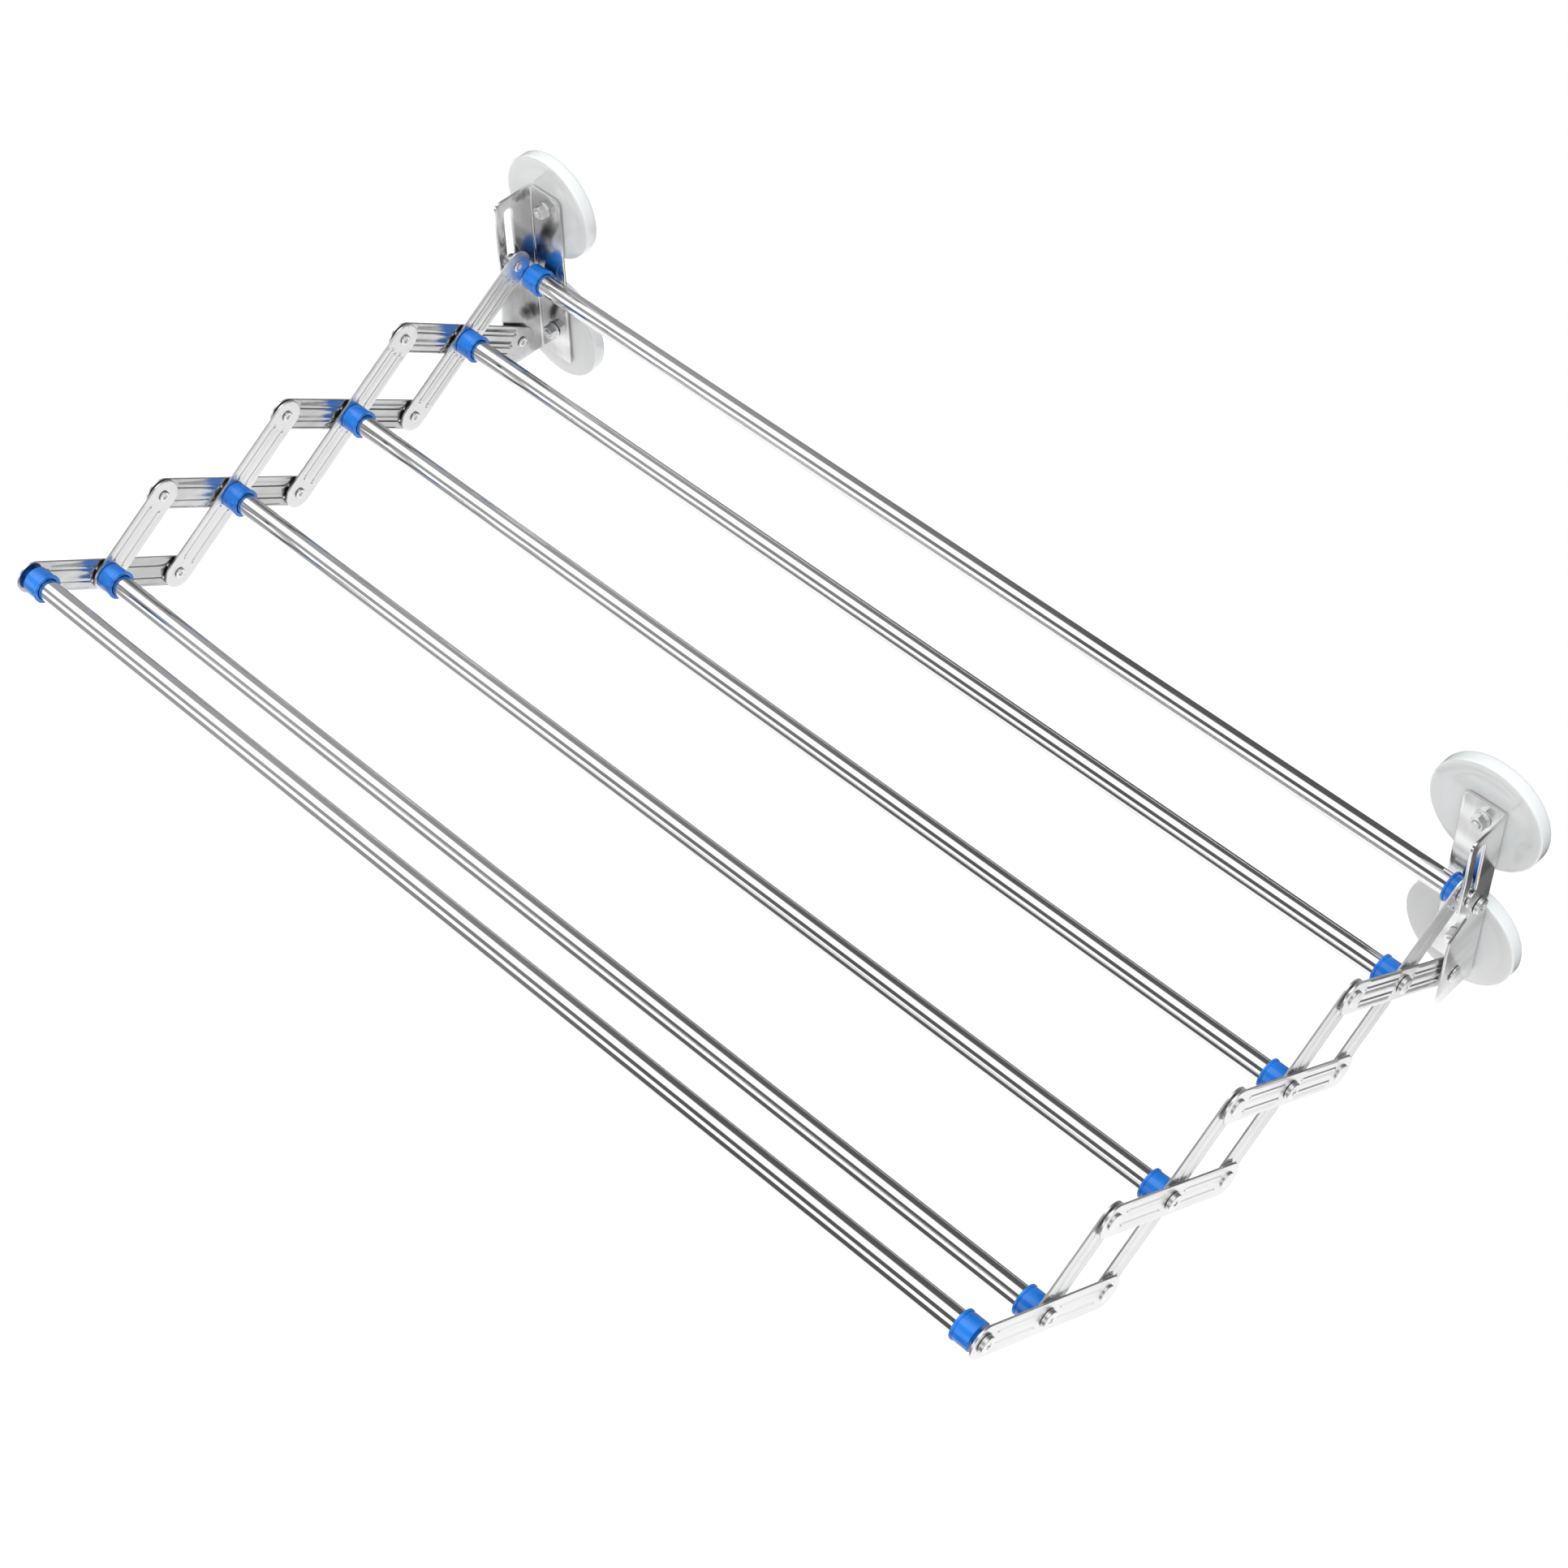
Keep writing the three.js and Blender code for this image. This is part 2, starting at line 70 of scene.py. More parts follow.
# %% Pivots and layers
pivots = {joint["name"]: np.array(joint["pos_m"][1:]) for joint in frame["joints"]}
crossings = [pivots[f"crossing_{n}"] for n in range(1, STAGES + 1)]
lower_tips = [pivots["push_back"]] + [pivots[f"lower_tip_{n}"] for n in range(1, STAGES)]
slide_pin = 2 * crossings[0] - lower_tips[1]
upper_tips = [slide_pin] + [2 * c - low for c, low in zip(crossings, lower_tips)]
half_link = float(np.linalg.norm(crossings[0] - lower_tips[0]))
slope = float(np.arctan2(*(crossings[0] - lower_tips[0])[::-1] * (1, -1)))


def reach_x(node):
    """Nearest and furthest distance of a right hand node from the middle of the rack."""
    low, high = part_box(node)
    return low.x, high.x


def middle_yz(node):
    """Centre of a node's box, seen along the rails."""
    low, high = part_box(node)
    return np.array([(low.y + high.y) / 2, (low.z + high.z) / 2])


inner_face, inner_back = reach_x("inner_link_1_right")
flange_outer = reach_x("bracket_right")[1]
print("half link", round(half_link / MM, 2), "mm, slope", round(np.degrees(slope), 1), "degrees")

# %% [markdown]
# ## Turning a surface into a mesh
# Most pieces here are turned on a lathe: a profile swept round an axis. The profile is a short
# list of corners, softened by a fillet so that edges catch a thin line of light as real edges do.
# The swept points form a grid, and the grid becomes quads that close on themselves.


# %% Profiles and turned pieces
def filleted(corners, radius, steps=4):
    """Replaces each inner corner of a polyline by a short curve.
    The curve is a quadratic one from a point before the corner to a point after it."""
    corners = np.array(corners, float)
    bend = np.linspace(0, 1, steps + 1)[:, None]
    pieces = [corners[:1]]
    for before, corner, after in zip(corners[:-2], corners[1:-1], corners[2:]):
        back = before - corner
        ahead = after - corner
        lengths = np.linalg.norm(back), np.linalg.norm(ahead)
        cut = min(radius, 0.45 * lengths[0], 0.45 * lengths[1])
        start = corner + back / lengths[0] * cut
        end = corner + ahead / lengths[1] * cut
        pieces.append((1 - bend) ** 2 * start + 2 * bend * (1 - bend) * corner + bend ** 2 * end)
    pieces.append(corners[-1:])
    return np.concatenate(pieces)


def turned(along, radius, around=64):
    """Grid of points of a profile swept round the X axis.
    At angle a a point is (along, radius cos a, radius sin a); radius may change with the angle."""
    angle = np.linspace(0, 2 * np.pi, around, endpoint=False)
    radius = np.asarray(radius, float)
    radius = radius if radius.ndim == 2 else np.repeat(radius[:, None], around, axis=1)
    along = np.repeat(np.asarray(along, float)[:, None], around, axis=1)
    return np.stack([along, radius * np.cos(angle), radius * np.sin(angle)], axis=-1)


def grid_faces(rows, columns, ring):
    """Quads of a grid whose columns close on themselves, and whose rows do too on a ring."""
    row = np.arange(rows if ring else rows - 1)[:, None]
    column = np.arange(columns)[None, :]
    below = (row + 1) % rows
    beside = (column + 1) % columns
    quads = np.stack([row * columns + column, row * columns + beside,
                      below * columns + beside, below * columns + column], axis=-1)
    return quads.reshape(-1, 4)


def skin(grid, ring=False):
    """Points and faces of a closed skin: a ring, or a piece whose first and last rows are poles."""
    if ring:
        rows, columns = grid.shape[:2]
        return grid.reshape(-1, 3), grid_faces(rows, columns, True).tolist()
    body = grid[1:-1]
    rows, columns = body.shape[:2]
    points = np.concatenate([body.reshape(-1, 3), grid[:1].mean(axis=1), grid[-1:].mean(axis=1)])
    faces = grid_faces(rows, columns, False).tolist()
    edge = np.arange(columns)
    beside = (edge + 1) % columns
    first = np.stack([np.full(columns, rows * columns), beside, edge], axis=1)
    last_row = (rows - 1) * columns
    last = np.stack([np.full(columns, rows * columns + 1), last_row + edge, last_row + beside], axis=1)
    return points, faces + first.tolist() + last.tolist()


print("a filleted corner has", len(filleted([(0, 0), (1, 0), (1, 1)], 0.2)) - 2, "points")

# %% [markdown]
# ## Naming, riding and standing in
# Each finished mesh lies at the origin with its place in its points, rides on the body that moves
# it, and says which CAD node it stands for. One function does all of that, so that no piece is
# left behind when the rack folds.

# %% Add a piece
counts = {"pieces": 0, "points": 0}


def add_piece(name, points, faces, material, node, replaces=True, sharp=35, recalculate=True):
    """Makes a mesh object from points and faces and ties it to the CAD node it belongs to."""
    mesh = bpy.data.meshes.new(name)
    mesh.from_pydata(np.asarray(points).tolist(), [], faces)
    if recalculate:
        work = bmesh.new()
        work.from_mesh(mesh)
        bmesh.ops.recalc_face_normals(work, faces=work.faces)
        work.to_mesh(mesh)
        work.free()
    mesh.shade_smooth()
    mesh.set_sharp_from_angle(angle=np.radians(sharp))
    mesh.materials.append(material)
    piece = bpy.data.objects.new(name, mesh)
    bpy.context.scene.collection.objects.link(piece)
    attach(piece, body_of[node])
    if replaces:
        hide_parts(node)
    counts["pieces"] += 1
    counts["points"] += len(mesh.vertices)
    return piece


def moved(points, side, where):
    """Mirrors points to their side of the rack and moves them to (y, z)."""
    return points * (side, 1, 1) + (0, *where)


# %% [markdown]
# ## Shader maths as Python
# A material is a small formula. Wrapping a socket in a class that knows + and * lets the formula
# be read as one, and a single method adds any other kind of node.


# %% Socket wrapper
class Socket:
    """A node output that can be used in expressions, or an empty one that stands for the tree."""

    def __init__(self, tree, output=None):
        self.tree = tree
        self.output = output

    def node(self, kind, settings=None, inputs=None, output=0):
        """Adds a node: its settings first, then the numbers, colours or links of its inputs."""
        made = self.tree.nodes.new(kind)
        for key, value in (settings or {}).items():
            setattr(made, key, value)
        for key, value in (inputs or {}).items():
            if isinstance(value, Socket):
                self.tree.links.new(value.output, made.inputs[key])
            else:
                made.inputs[key].default_value = value
        return Socket(self.tree, made.outputs[output] if made.outputs else None)

    def math(self, operation, *values):
        return self.node("ShaderNodeMath", {"operation": operation}, dict(enumerate(values)))

    def __add__(self, other):
        return self.math("ADD", self, other)

    def __sub__(self, other):
        return self.math("SUBTRACT", self, other)

    def __rsub__(self, other):
        return self.math("SUBTRACT", other, self)

    def __mul__(self, other):
        return self.math("MULTIPLY", self, other)

    __radd__ = __add__
    __rmul__ = __mul__

    def between(self, low, high):
        """Rises smoothly from 0 at low to 1 at high."""
        return self.node("ShaderNodeMapRange", {"interpolation_type": "SMOOTHSTEP"},
                         {0: self, 1: low, 2: high, 3: 0.0, 4: 1.0})

    def blend(self, first, second):
        """Mixes two colours by this value."""
        return self.node("ShaderNodeMix", {"data_type": "RGBA"},
                         {0: self, 6: first, 7: second}, output=2)


def grey(level, warmth=0.0):
    """A grey, a little warmer or cooler."""
    return (level * (1 + warmth), level, level * (1 - warmth), 1)


def emptied(block):
    """Empties the node tree of a material or a world and wraps it."""
    block.use_nodes = True
    block.node_tree.nodes.clear()
    return Socket(block.node_tree)


def new_material(name):
    """A material with an empty tree, the wrapped tree to build in, and the place on the piece."""
    material = bpy.data.materials.new(name)
    tree = emptied(material)
    return material, tree, tree.node("ShaderNodeTexCoord", output="Object")


def finish_material(tree, constants, **varying):
    """Adds the shader: constants on its own sockets, varying values by link."""
    names = {"color": "Base Color", "roughness": "Roughness", "normal": "Normal"}
    inputs = {**constants, **{names[key]: value for key, value in varying.items()}}
    shader = tree.node("ShaderNodeBsdfPrincipled", {}, inputs)
    tree.node("ShaderNodeOutputMaterial", {}, {"Surface": shader})


print("the wrapper knows", ", ".join(name for name in vars(Socket) if not name.startswith("__")))

# %% [markdown]
# ## Steel
# Stainless steel keeps the marks of how it was made. Tube is drawn and polished along its length,
# strip is rolled, so both carry fine streaks in one direction. Noise that is stretched hard along
# one axis gives those streaks, and a second, broad noise gives the handling marks that make a
# reflection wander. Each steel is one row of numbers, which are noise features per metre.


# %% Steel materials
WARMTH = 0.004
WORN = 0.06                         # how much rougher the handling marks are


def steel(name, turn, stretch, brightness, roughness, streak_bump, broad=(18, 18, 18), cloud=0.4):
    """Metal with streaks and broad marks. The streaks run along the axis with the small stretch,
    turned about X. The share of the marks in the tone is cloud, the streaks have the rest."""
    material, tree, place = new_material(name)
    grain = tree.node("ShaderNodeMapping", {}, {0: place, 2: (turn, 0, 0), 3: stretch})
    streaks = tree.node("ShaderNodeTexNoise", {}, {"Vector": grain, "Scale": 1.0, "Detail": 3.0,
                                                  "Roughness": 0.6})
    wide = tree.node("ShaderNodeMapping", {}, {0: place, 3: broad})
    marks = tree.node("ShaderNodeTexNoise", {}, {"Vector": wide, "Scale": 1.0, "Detail": 2.0})
    low, high = roughness
    rough = low + (high - low) * streaks + WORN * marks.between(0.45, 0.7)
    dark, light = brightness
    tone = (1 - cloud) * streaks + cloud * marks.between(0.36, 0.64)
    color = tone.blend(grey(dark, WARMTH), grey(light, -WARMTH))
    normal = tree.node("ShaderNodeBump", {}, {"Strength": streak_bump, "Distance": 0.0001,
                                             "Height": streaks})
    finish_material(tree, {"Metallic": 1.0}, color=color, roughness=rough, normal=normal)
    return material


tube_steel = steel("polished_tube", 0, (1.5, 500, 500), (0.76, 0.86), (0.04, 0.08), 0.012)
strip_down = steel("satin_strip_down", -slope, (500, 6, 650), (0.7, 0.86), (0.27, 0.36), 0.1)
strip_up = steel("satin_strip_up", slope, (500, 6, 650), (0.74, 0.88), (0.27, 0.36), 0.1)
# Painted shade: the backs of the outer links get a far darker colour than the faces of the same strip,
# standing for the dark reflections on them; the streaks are the sheet's grain.
strip_back_painted_dark = steel("polished_strip_back_painted_shade", slope, (160, 1.2, 220), (0.4, 0.73), (0.15, 0.25), 0.03)
bracket_steel = steel("rolled_sheet", 0, (420, 420, 9), (0.44, 0.96), (0.13, 0.23), 0.08,
                      (9, 9, 34), 0.7)
rivet_steel = steel("bright_zinc", 0.6, (260, 260, 260), (0.78, 0.9), (0.28, 0.4), 0.05,
                    (160, 160, 160))
print("steels:", [material.name for material in bpy.data.materials])

# %% [markdown]
# ## Plastics
# The end caps are moulded in one glossy blue, with the slight unevenness of a moulding that
# shrank as it cooled. The wall pads are milky and let some light through. Their rims are painted
# lighter than their flat faces, a painted highlight for light that gathers in the thick edge. Where
# the face begins is read from the depth of a point in the pad.

# %% Plastic materials
BLUE_DARK, BLUE_LIGHT = (0.005, 0.145, 0.58, 1), (0.01, 0.2, 0.72, 1)
# Painted highlight: the rim colour is lighter than the face colour, standing for light caught in the
# thick edge.
MILK_RIM_PAINTED_LIGHT, MILK_FACE = grey(0.96, -0.002), grey(0.75, -0.003)
FACE_STARTS, FACE_WHOLE = -7.6, -8.4

material_blue, tree, place = new_material("moulded_blue")
shrink = tree.node("ShaderNodeTexNoise", {}, {"Vector": place, "Scale": 240.0, "Detail": 2.0})
cloud = tree.node("ShaderNodeTexNoise", {}, {"Vector": place, "Scale": 60.0, "Detail": 3.0})
blue = cloud.between(0.3, 0.7).blend(BLUE_DARK, BLUE_LIGHT)
dent = tree.node("ShaderNodeBump", {}, {"Strength": 0.12, "Distance": 0.0002, "Height": shrink})
finish_material(tree, {"IOR": 1.5, "Coat Weight": 0.3, "Coat Roughness": 0.08},
                color=blue, roughness=0.2 + 0.14 * cloud, normal=dent)

material_milky, tree, place = new_material("milky_pad")
ripple = tree.node("ShaderNodeTexNoise", {}, {"Vector": place, "Scale": 35.0, "Detail": 2.0})
cloud = tree.node("ShaderNodeTexNoise", {}, {"Vector": place, "Scale": 120.0, "Detail": 4.0})
depth = tree.node("ShaderNodeSeparateXYZ", {}, {0: place}, output=1)
# painted highlight: the colour turns from the lighter rim colour to the face colour with depth
milk_and_painted_rim_light = depth.between(FACE_STARTS * MM, FACE_WHOLE * MM).blend(MILK_RIM_PAINTED_LIGHT, MILK_FACE)
soft = tree.node("ShaderNodeBump", {}, {"Strength": 0.1, "Distance": 0.0006, "Height": ripple})
finish_material(tree, {"IOR": 1.46, "Transmission Weight": 0.08, "Coat Weight": 1.0,
                       "Coat Roughness": 0.05, "Subsurface Weight": 0.15},
                color=milk_and_painted_rim_light, roughness=0.16 + 0.12 * cloud, normal=soft)
print("plastics:", material_blue.name, material_milky.name)

# %% [markdown]
# ## Rails
# A rail is a thin stainless tube. The wall is modelled too: the profile runs out along the
# outside and back along the bore, so that the tube is a closed ring. Both ends sit inside caps.

# %% Six rails
TUBE_WALL = 0.6
RIM = 0.15

rail_low, rail_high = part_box("rail_1")
tube_radius = (rail_high.z - rail_low.z) / 2
half_span = rail_high.x
bore = tube_radius - TUBE_WALL * MM
tube_profile = filleted([(0, bore), (-half_span, bore), (-half_span, tube_radius),
                         (half_span, tube_radius), (half_span, bore), (1 * MM, bore)], RIM * MM)
tube_grid = turned(*tube_profile.T, around=96)
for n in range(1, STAGES + 3):
    node = f"rail_{n}"
    points, faces = skin(tube_grid, ring=True)
    add_piece(f"{node}_tube", moved(points, 1, middle_yz(node)), faces, tube_steel, node)
print("rails: radius", round(tube_radius / MM, 2), "mm, length", round(2 * half_span / MM), "mm")

# %% [markdown]
# ## End caps
# A cap is a moulded collar round the end of a tube, with a lip at its mouth and a core that plugs
# the tube. Its outside isn't quite round: it has twenty shallow flats from its mould. The flats
# come from mixing a circle with the polar formula of a polygon.

# %% Twelve caps
FLATS = 20
FLATNESS = 0.6
CAP_WALL = 1.2
CAP_LENGTH = 11
CAP_FLOOR = 2.5
CAP_LIP = 0.4
CAP_LIP_LENGTH = 1.4
CAP_STEP = 0.35
CAP_SNUG = 0.25                     # gap between the mouth and the tube
CAP_THROAT = 2.2                    # how far in the collar narrows towards its mouth
HUB_RADIUS = 4.2
CORE_GAP = 0.3
CAP_BORE = 2.6
CAP_FILLET = 0.28
CAP_AROUND = 160

cap_depth, cap_base = reach_x("cap_2_right")
cap_low, cap_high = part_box("cap_2_right")
cap_outside = (cap_high.z - cap_low.z) / 2 - CAP_LIP * MM


def flatted(radius, share):
    """Radius of each row at each angle: a polygon with flats, mixed with a circle by share."""
    step = 2 * np.pi / FLATS
    angle = np.linspace(0, 2 * np.pi, CAP_AROUND, endpoint=False)
    polygon = np.cos(step / 2) / np.cos((angle + step / 2) % step - step / 2)
    shape = 1 - np.asarray(share)[:, None] * (1 - polygon)[None, :]
    return np.asarray(radius)[:, None] * shape


def cap_points(hub_end):
    """Closed profile of a cap from its core, round the cup and its lip, to the hub and the bore."""
    cup = cap_outside - CAP_WALL * MM
    core = bore - CORE_GAP * MM
    mouth = cap_base - CAP_LENGTH * MM
    lip = cap_outside + CAP_LIP * MM
    lip_end = mouth + CAP_LIP_LENGTH * MM
    hub = []
    if hub_end > cap_base:
        hub = [(cap_base, HUB_RADIUS * MM), (hub_end, HUB_RADIUS * MM)]
    corners = [(cap_depth, (core + CAP_BORE * MM) / 2), (cap_depth, core),
               (cap_base - CAP_FLOOR * MM, core), (cap_base - CAP_FLOOR * MM, cup),
               (mouth + CAP_THROAT * MM, cup), (mouth, tube_radius + CAP_SNUG * MM),
               (mouth, lip), (lip_end, lip), (lip_end, cap_outside - CAP_STEP * MM),
               (lip_end + CAP_LIP_LENGTH * MM, cap_outside), (cap_base, cap_outside), *hub,
               (hub_end, CAP_BORE * MM), (cap_depth, CAP_BORE * MM)]
    profile = filleted(corners, CAP_FILLET * MM)
    along, radius = profile.T
    outer = (radius > cap_outside - 0.6 * MM) & (along > lip_end)
    return turned(along, flatted(radius, FLATNESS * outer), around=CAP_AROUND)


for n in range(1, STAGES + 3):
    for side_name, side in SIDES.items():
        node = f"cap_{n}_{side_name}"
        hub_end = reach_x(f"cap_{n}_right")[1]
        points, faces = skin(cap_points(hub_end), ring=True)
        where = middle_yz(node)
        add_piece(f"{node}_collar", moved(points, side, where), faces, material_blue, node)
print("caps: outside radius", round(cap_outside / MM, 2), "mm")

# %% [markdown]
# ## Screws
# Each rail is held by a pan head screw with a cross recess and a washer. The head is turned, and
# the recess is pressed into it by lowering every point that falls inside a cross.

# %% Pan head screws
SCREW_RADIUS = 2.3
SCREW_HEAD = 5.0
SCREW_HEAD_HEIGHT = 2.6
WASHER_RADIUS = 5.5
WASHER_HEIGHT = 0.7
RECESS_ARM = 1.9
RECESS_WIDTH = 0.5
RECESS_DEPTH = 1.2
RECESS_WALL, RECESS_RAMP = 0.35, 1.1    # over what width an arm's side and end slope
HEAD_ROWS = 36
HEAD_SIDE = 0.45                    # shares of a head's height: straight side, rounded edge
HEAD_EDGE = 0.4                     # and, with what is left, a shallow dome


def head_profile(base, radius, height):
    """Rows of a screw or rivet head from the foot of its side to the middle of its top.
    The edge is a superellipse of the radius, the dome a parabola, and the rows crowd at the edge."""
    share = 1 - np.linspace(0, 1, HEAD_ROWS) ** 2
    edge = HEAD_EDGE * np.sqrt(1 - share ** 20)
    dome = (1 - HEAD_SIDE - HEAD_EDGE) * (1 - share ** 2)
    return base + height * (HEAD_SIDE + edge + dome), radius * share


def cross_recess(y, z):
    """How far the recess reaches at (y, z): 1 well inside either arm of a cross, 0 outside."""
    def arm(across, along):
        wide = (RECESS_WIDTH * MM - np.abs(across)) / (RECESS_WALL * MM) + 0.5
        long = (RECESS_ARM * MM - np.abs(along)) / (RECESS_RAMP * MM)
        return wide.clip(0, 1) * long.clip(0, 1)
    return np.maximum(arm(y, z), arm(z, y))


def screw_points(shank_end, under, turn):
    """A screw along X from the end of its shank to the crown of its head."""
    shank = [(shank_end, 0), (shank_end, SCREW_RADIUS * MM), (under, SCREW_RADIUS * MM),
             (under, WASHER_RADIUS * MM), (under + WASHER_HEIGHT * MM, WASHER_RADIUS * MM),
             (under + WASHER_HEIGHT * MM, SCREW_HEAD * MM)]
    along, radius = filleted(shank, 0.15 * MM).T
    seat = under + WASHER_HEIGHT * MM
    rise = (SCREW_HEAD_HEIGHT - WASHER_HEIGHT) * MM
    head_along, head_radius = head_profile(seat, SCREW_HEAD * MM, rise)
    grid = turned(np.r_[along, head_along], np.r_[radius, head_radius], around=72)
    on_head = grid[..., 0] > seat + 0.2 * rise
    y, z = grid[..., 1], grid[..., 2]
    sunk = cross_recess(y * np.cos(turn) - z * np.sin(turn), y * np.sin(turn) + z * np.cos(turn))
    grid[..., 0] -= on_head * sunk * RECESS_DEPTH * MM
    return grid


for n in range(1, STAGES + 3):
    for side_name, side in SIDES.items():
        node = f"screw_{n}_{side_name}"
        start, end = reach_x(f"screw_{n}_right")
        grid = screw_points(start, end - SCREW_HEAD_HEIGHT * MM, turn=0.5 + 1.1 * n * side)
        points, faces = skin(grid)
        add_piece(f"{node}_head", moved(points, side, middle_yz(node)), faces, rivet_steel, node)
print("a screw has", len(points), "points")

# %% [markdown]
# ## Pressed sheet metal
# Links and brackets are stamped from sheet. Such a piece starts as a flat pattern: an outline,
# some holes, and a lattice of points inside it that can carry relief. A constrained Delaunay
# triangulation joins them, because it keeps every cut edge exact and needs no grid that fits the
# outline. The flat pattern is then bent or embossed by a formula, and Solidify gives it its gauge.


# %% Flat patterns
def arc(centre, radius, start, end, steps):
    """Points on a circle from one angle to another, in degrees."""
    angle = np.radians(np.linspace(start, end, steps))
    return np.stack([centre[0] + radius * np.cos(angle), centre[1] + radius * np.sin(angle)], axis=1)


def circle(centre, radius, steps=32):
    return arc(centre, radius, 0, 360, steps + 1)[:-1]


def divided(loop, longest):
    """The same loop with every edge cut into equal parts that are no longer than longest."""
    ends = np.roll(loop, -1, axis=0)
    parts = np.ceil(np.linalg.norm(ends - loop, axis=1) / longest).astype(int).clip(1)
    share = [np.arange(n)[:, None] / n for n in parts]
    return np.concatenate([a + (b - a) * t for a, b, t in zip(loop, ends, share)])


def edge_distance(points, loop):
    """Distance from each point to the nearest edge of a closed loop."""
    start = loop[None]
    run = np.roll(loop, -1, axis=0)[None] - start
    offset = points[:, None] - start
    share = np.clip((offset * run).sum(-1) / (run ** 2).sum(-1), 0, 1)
    return np.linalg.norm(offset - share[..., None] * run, axis=-1).min(axis=1)


def inside(points, loop):
    """Whether each point lies in a closed loop, by counting the edges to its right."""
    start = loop[None]
    end = np.roll(loop, -1, axis=0)[None]
    x, y = points[:, None, 0], points[:, None, 1]
    spans = (start[..., 1] > y) != (end[..., 1] > y)
    height = end[..., 1] - start[..., 1]
    height = np.where(height == 0, 1, height)
    at = start[..., 0] + (end[..., 0] - start[..., 0]) * (y - start[..., 1]) / height
    return (spans & (x < at)).sum(axis=1) % 2 == 1


def flat_pattern(outline, holes, columns, rows, margin):
    """Points and triangles of an outline with holes and a lattice of columns and rows inside it."""
    lattice = np.stack(np.meshgrid(columns, rows), axis=-1).reshape(-1, 2)
    keep = inside(lattice, outline) & (edge_distance(lattice, outline) > margin)
    for hole in holes:
        keep &= ~inside(lattice, hole) & (edge_distance(lattice, hole) > margin)
    loops = [outline, *holes]
    starts = np.cumsum([0] + [len(loop) for loop in loops])
    edges = [(int(a + i), int(a + (i + 1) % len(loop)))
             for a, loop in zip(starts, loops) for i in range(len(loop))]
    points = np.concatenate(loops + [lattice[keep]])
    found = delaunay_2d_cdt([Vector(p) for p in points], edges, [], 1, 1e-7)
    flat = np.array([tuple(p) for p in found[0]])
    triangles = np.array(found[2])
    centres = flat[triangles].mean(axis=1)
    solid = inside(centres, outline)
    for hole in holes:
        solid &= ~inside(centres, hole)
    return flat, triangles[solid]


def add_sheet(name, points, triangles, gauge, offset, materials, node, outward, bevel):
    """Adds a pressed sheet: its surface as given, its gauge and edge rounding as modifiers.
    The triangles are turned so that their summed normal points outward, whichever side it is."""
    a, b, c = (points[triangles[:, i]] for i in range(3))
    facing = (np.cross(b - a, c - a) * outward).sum()
    triangles = triangles if facing > 0 else triangles[:, ::-1]
    piece = add_piece(name, points, triangles.tolist(), materials[0], node, recalculate=False)
    for extra in materials[1:]:
        piece.data.materials.append(extra)
    wall = piece.modifiers.new("gauge", "SOLIDIFY")
    wall.thickness = gauge
    wall.offset = offset
    wall.use_even_offset = True
    wall.material_offset = len(materials) - 1
    rounding = piece.modifiers.new("edges", "BEVEL")
    rounding.width = bevel
    rounding.segments = 2
    rounding.limit_method = "ANGLE"
    rounding.angle_limit = np.radians(50)
    rounding.use_clamp_overlap = False
    return piece


square = np.array([(0, 0), (1, 0), (1, 1), (0, 1)], float)
print("a unit square divided in thirds has", len(divided(square, 0.34)), "edges")

# %% [markdown]
# ## Scissor links
# A link is a round ended strip with two narrow beads pressed along each half, which stiffen it.
# The inner chain's beads stand inwards and the outer chain's stand outwards, so the two chains
# slide past each other on flat faces. The bead's height falls off with the distance to its centre
# line, and each end has a small round dimple where the punch let go.

# %% Link relief
LINK_RADIUS = 9.95
GAUGE = 1.2
CHAIN_GAP = 1.3
BEAD_OFFSET = 4.1
BEAD_START = 9.2
BEAD_WIDTH = 1.5
BEAD_HEIGHT = 0.5
BEAD_RISE = 2.0
DIMPLE_RADIUS = 1.0
DIMPLE_DEPTH = 0.45
CAMBER = 0.22
CAMBER_REACH = 2.2                  # how far the camber goes, in bead offsets
PIN_HOLE = 2.5
SCREW_HOLE = 2.6
LINK_BEVEL = 0.16

outer_face = inner_back + CHAIN_GAP * MM
outer_back = outer_face + GAUGE * MM


def bead_relief(u, v, halves):
    """Height of the beads at (u, v), along and across a link.
    A bead is a raised cosine of the distance to its centre line, with a dimple at either end.
    The strip between the beads and its two margins bow a little, as pressed strip does."""
    height = np.zeros_like(u)
    across = np.abs(v) / (BEAD_OFFSET * MM)
    for half in range(halves):
        low = half * half_link + BEAD_START * MM
        high = (half + 1) * half_link - BEAD_START * MM
        ends = np.clip((u - low) / (BEAD_RISE * MM), 0, 1)
        ends *= np.clip((high - u) / (BEAD_RISE * MM), 0, 1)
        bow = np.cos(np.clip(across, 0, CAMBER_REACH) * np.pi) * ends
        height += CAMBER * MM * bow * (across < CAMBER_REACH)
        for level in (-BEAD_OFFSET * MM, BEAD_OFFSET * MM):
            off = np.hypot(u - np.clip(u, low, high), v - level) / (BEAD_WIDTH * MM)
            height += BEAD_HEIGHT * MM * (1 + np.cos(np.pi * np.clip(off, 0, 1))) / 2
            for end in (low, high):
                dimple = np.hypot(u - end, v - level) / (DIMPLE_RADIUS * MM)
                height -= DIMPLE_DEPTH * MM * (1 + np.cos(np.pi * np.clip(dimple, 0, 1)))
    return height


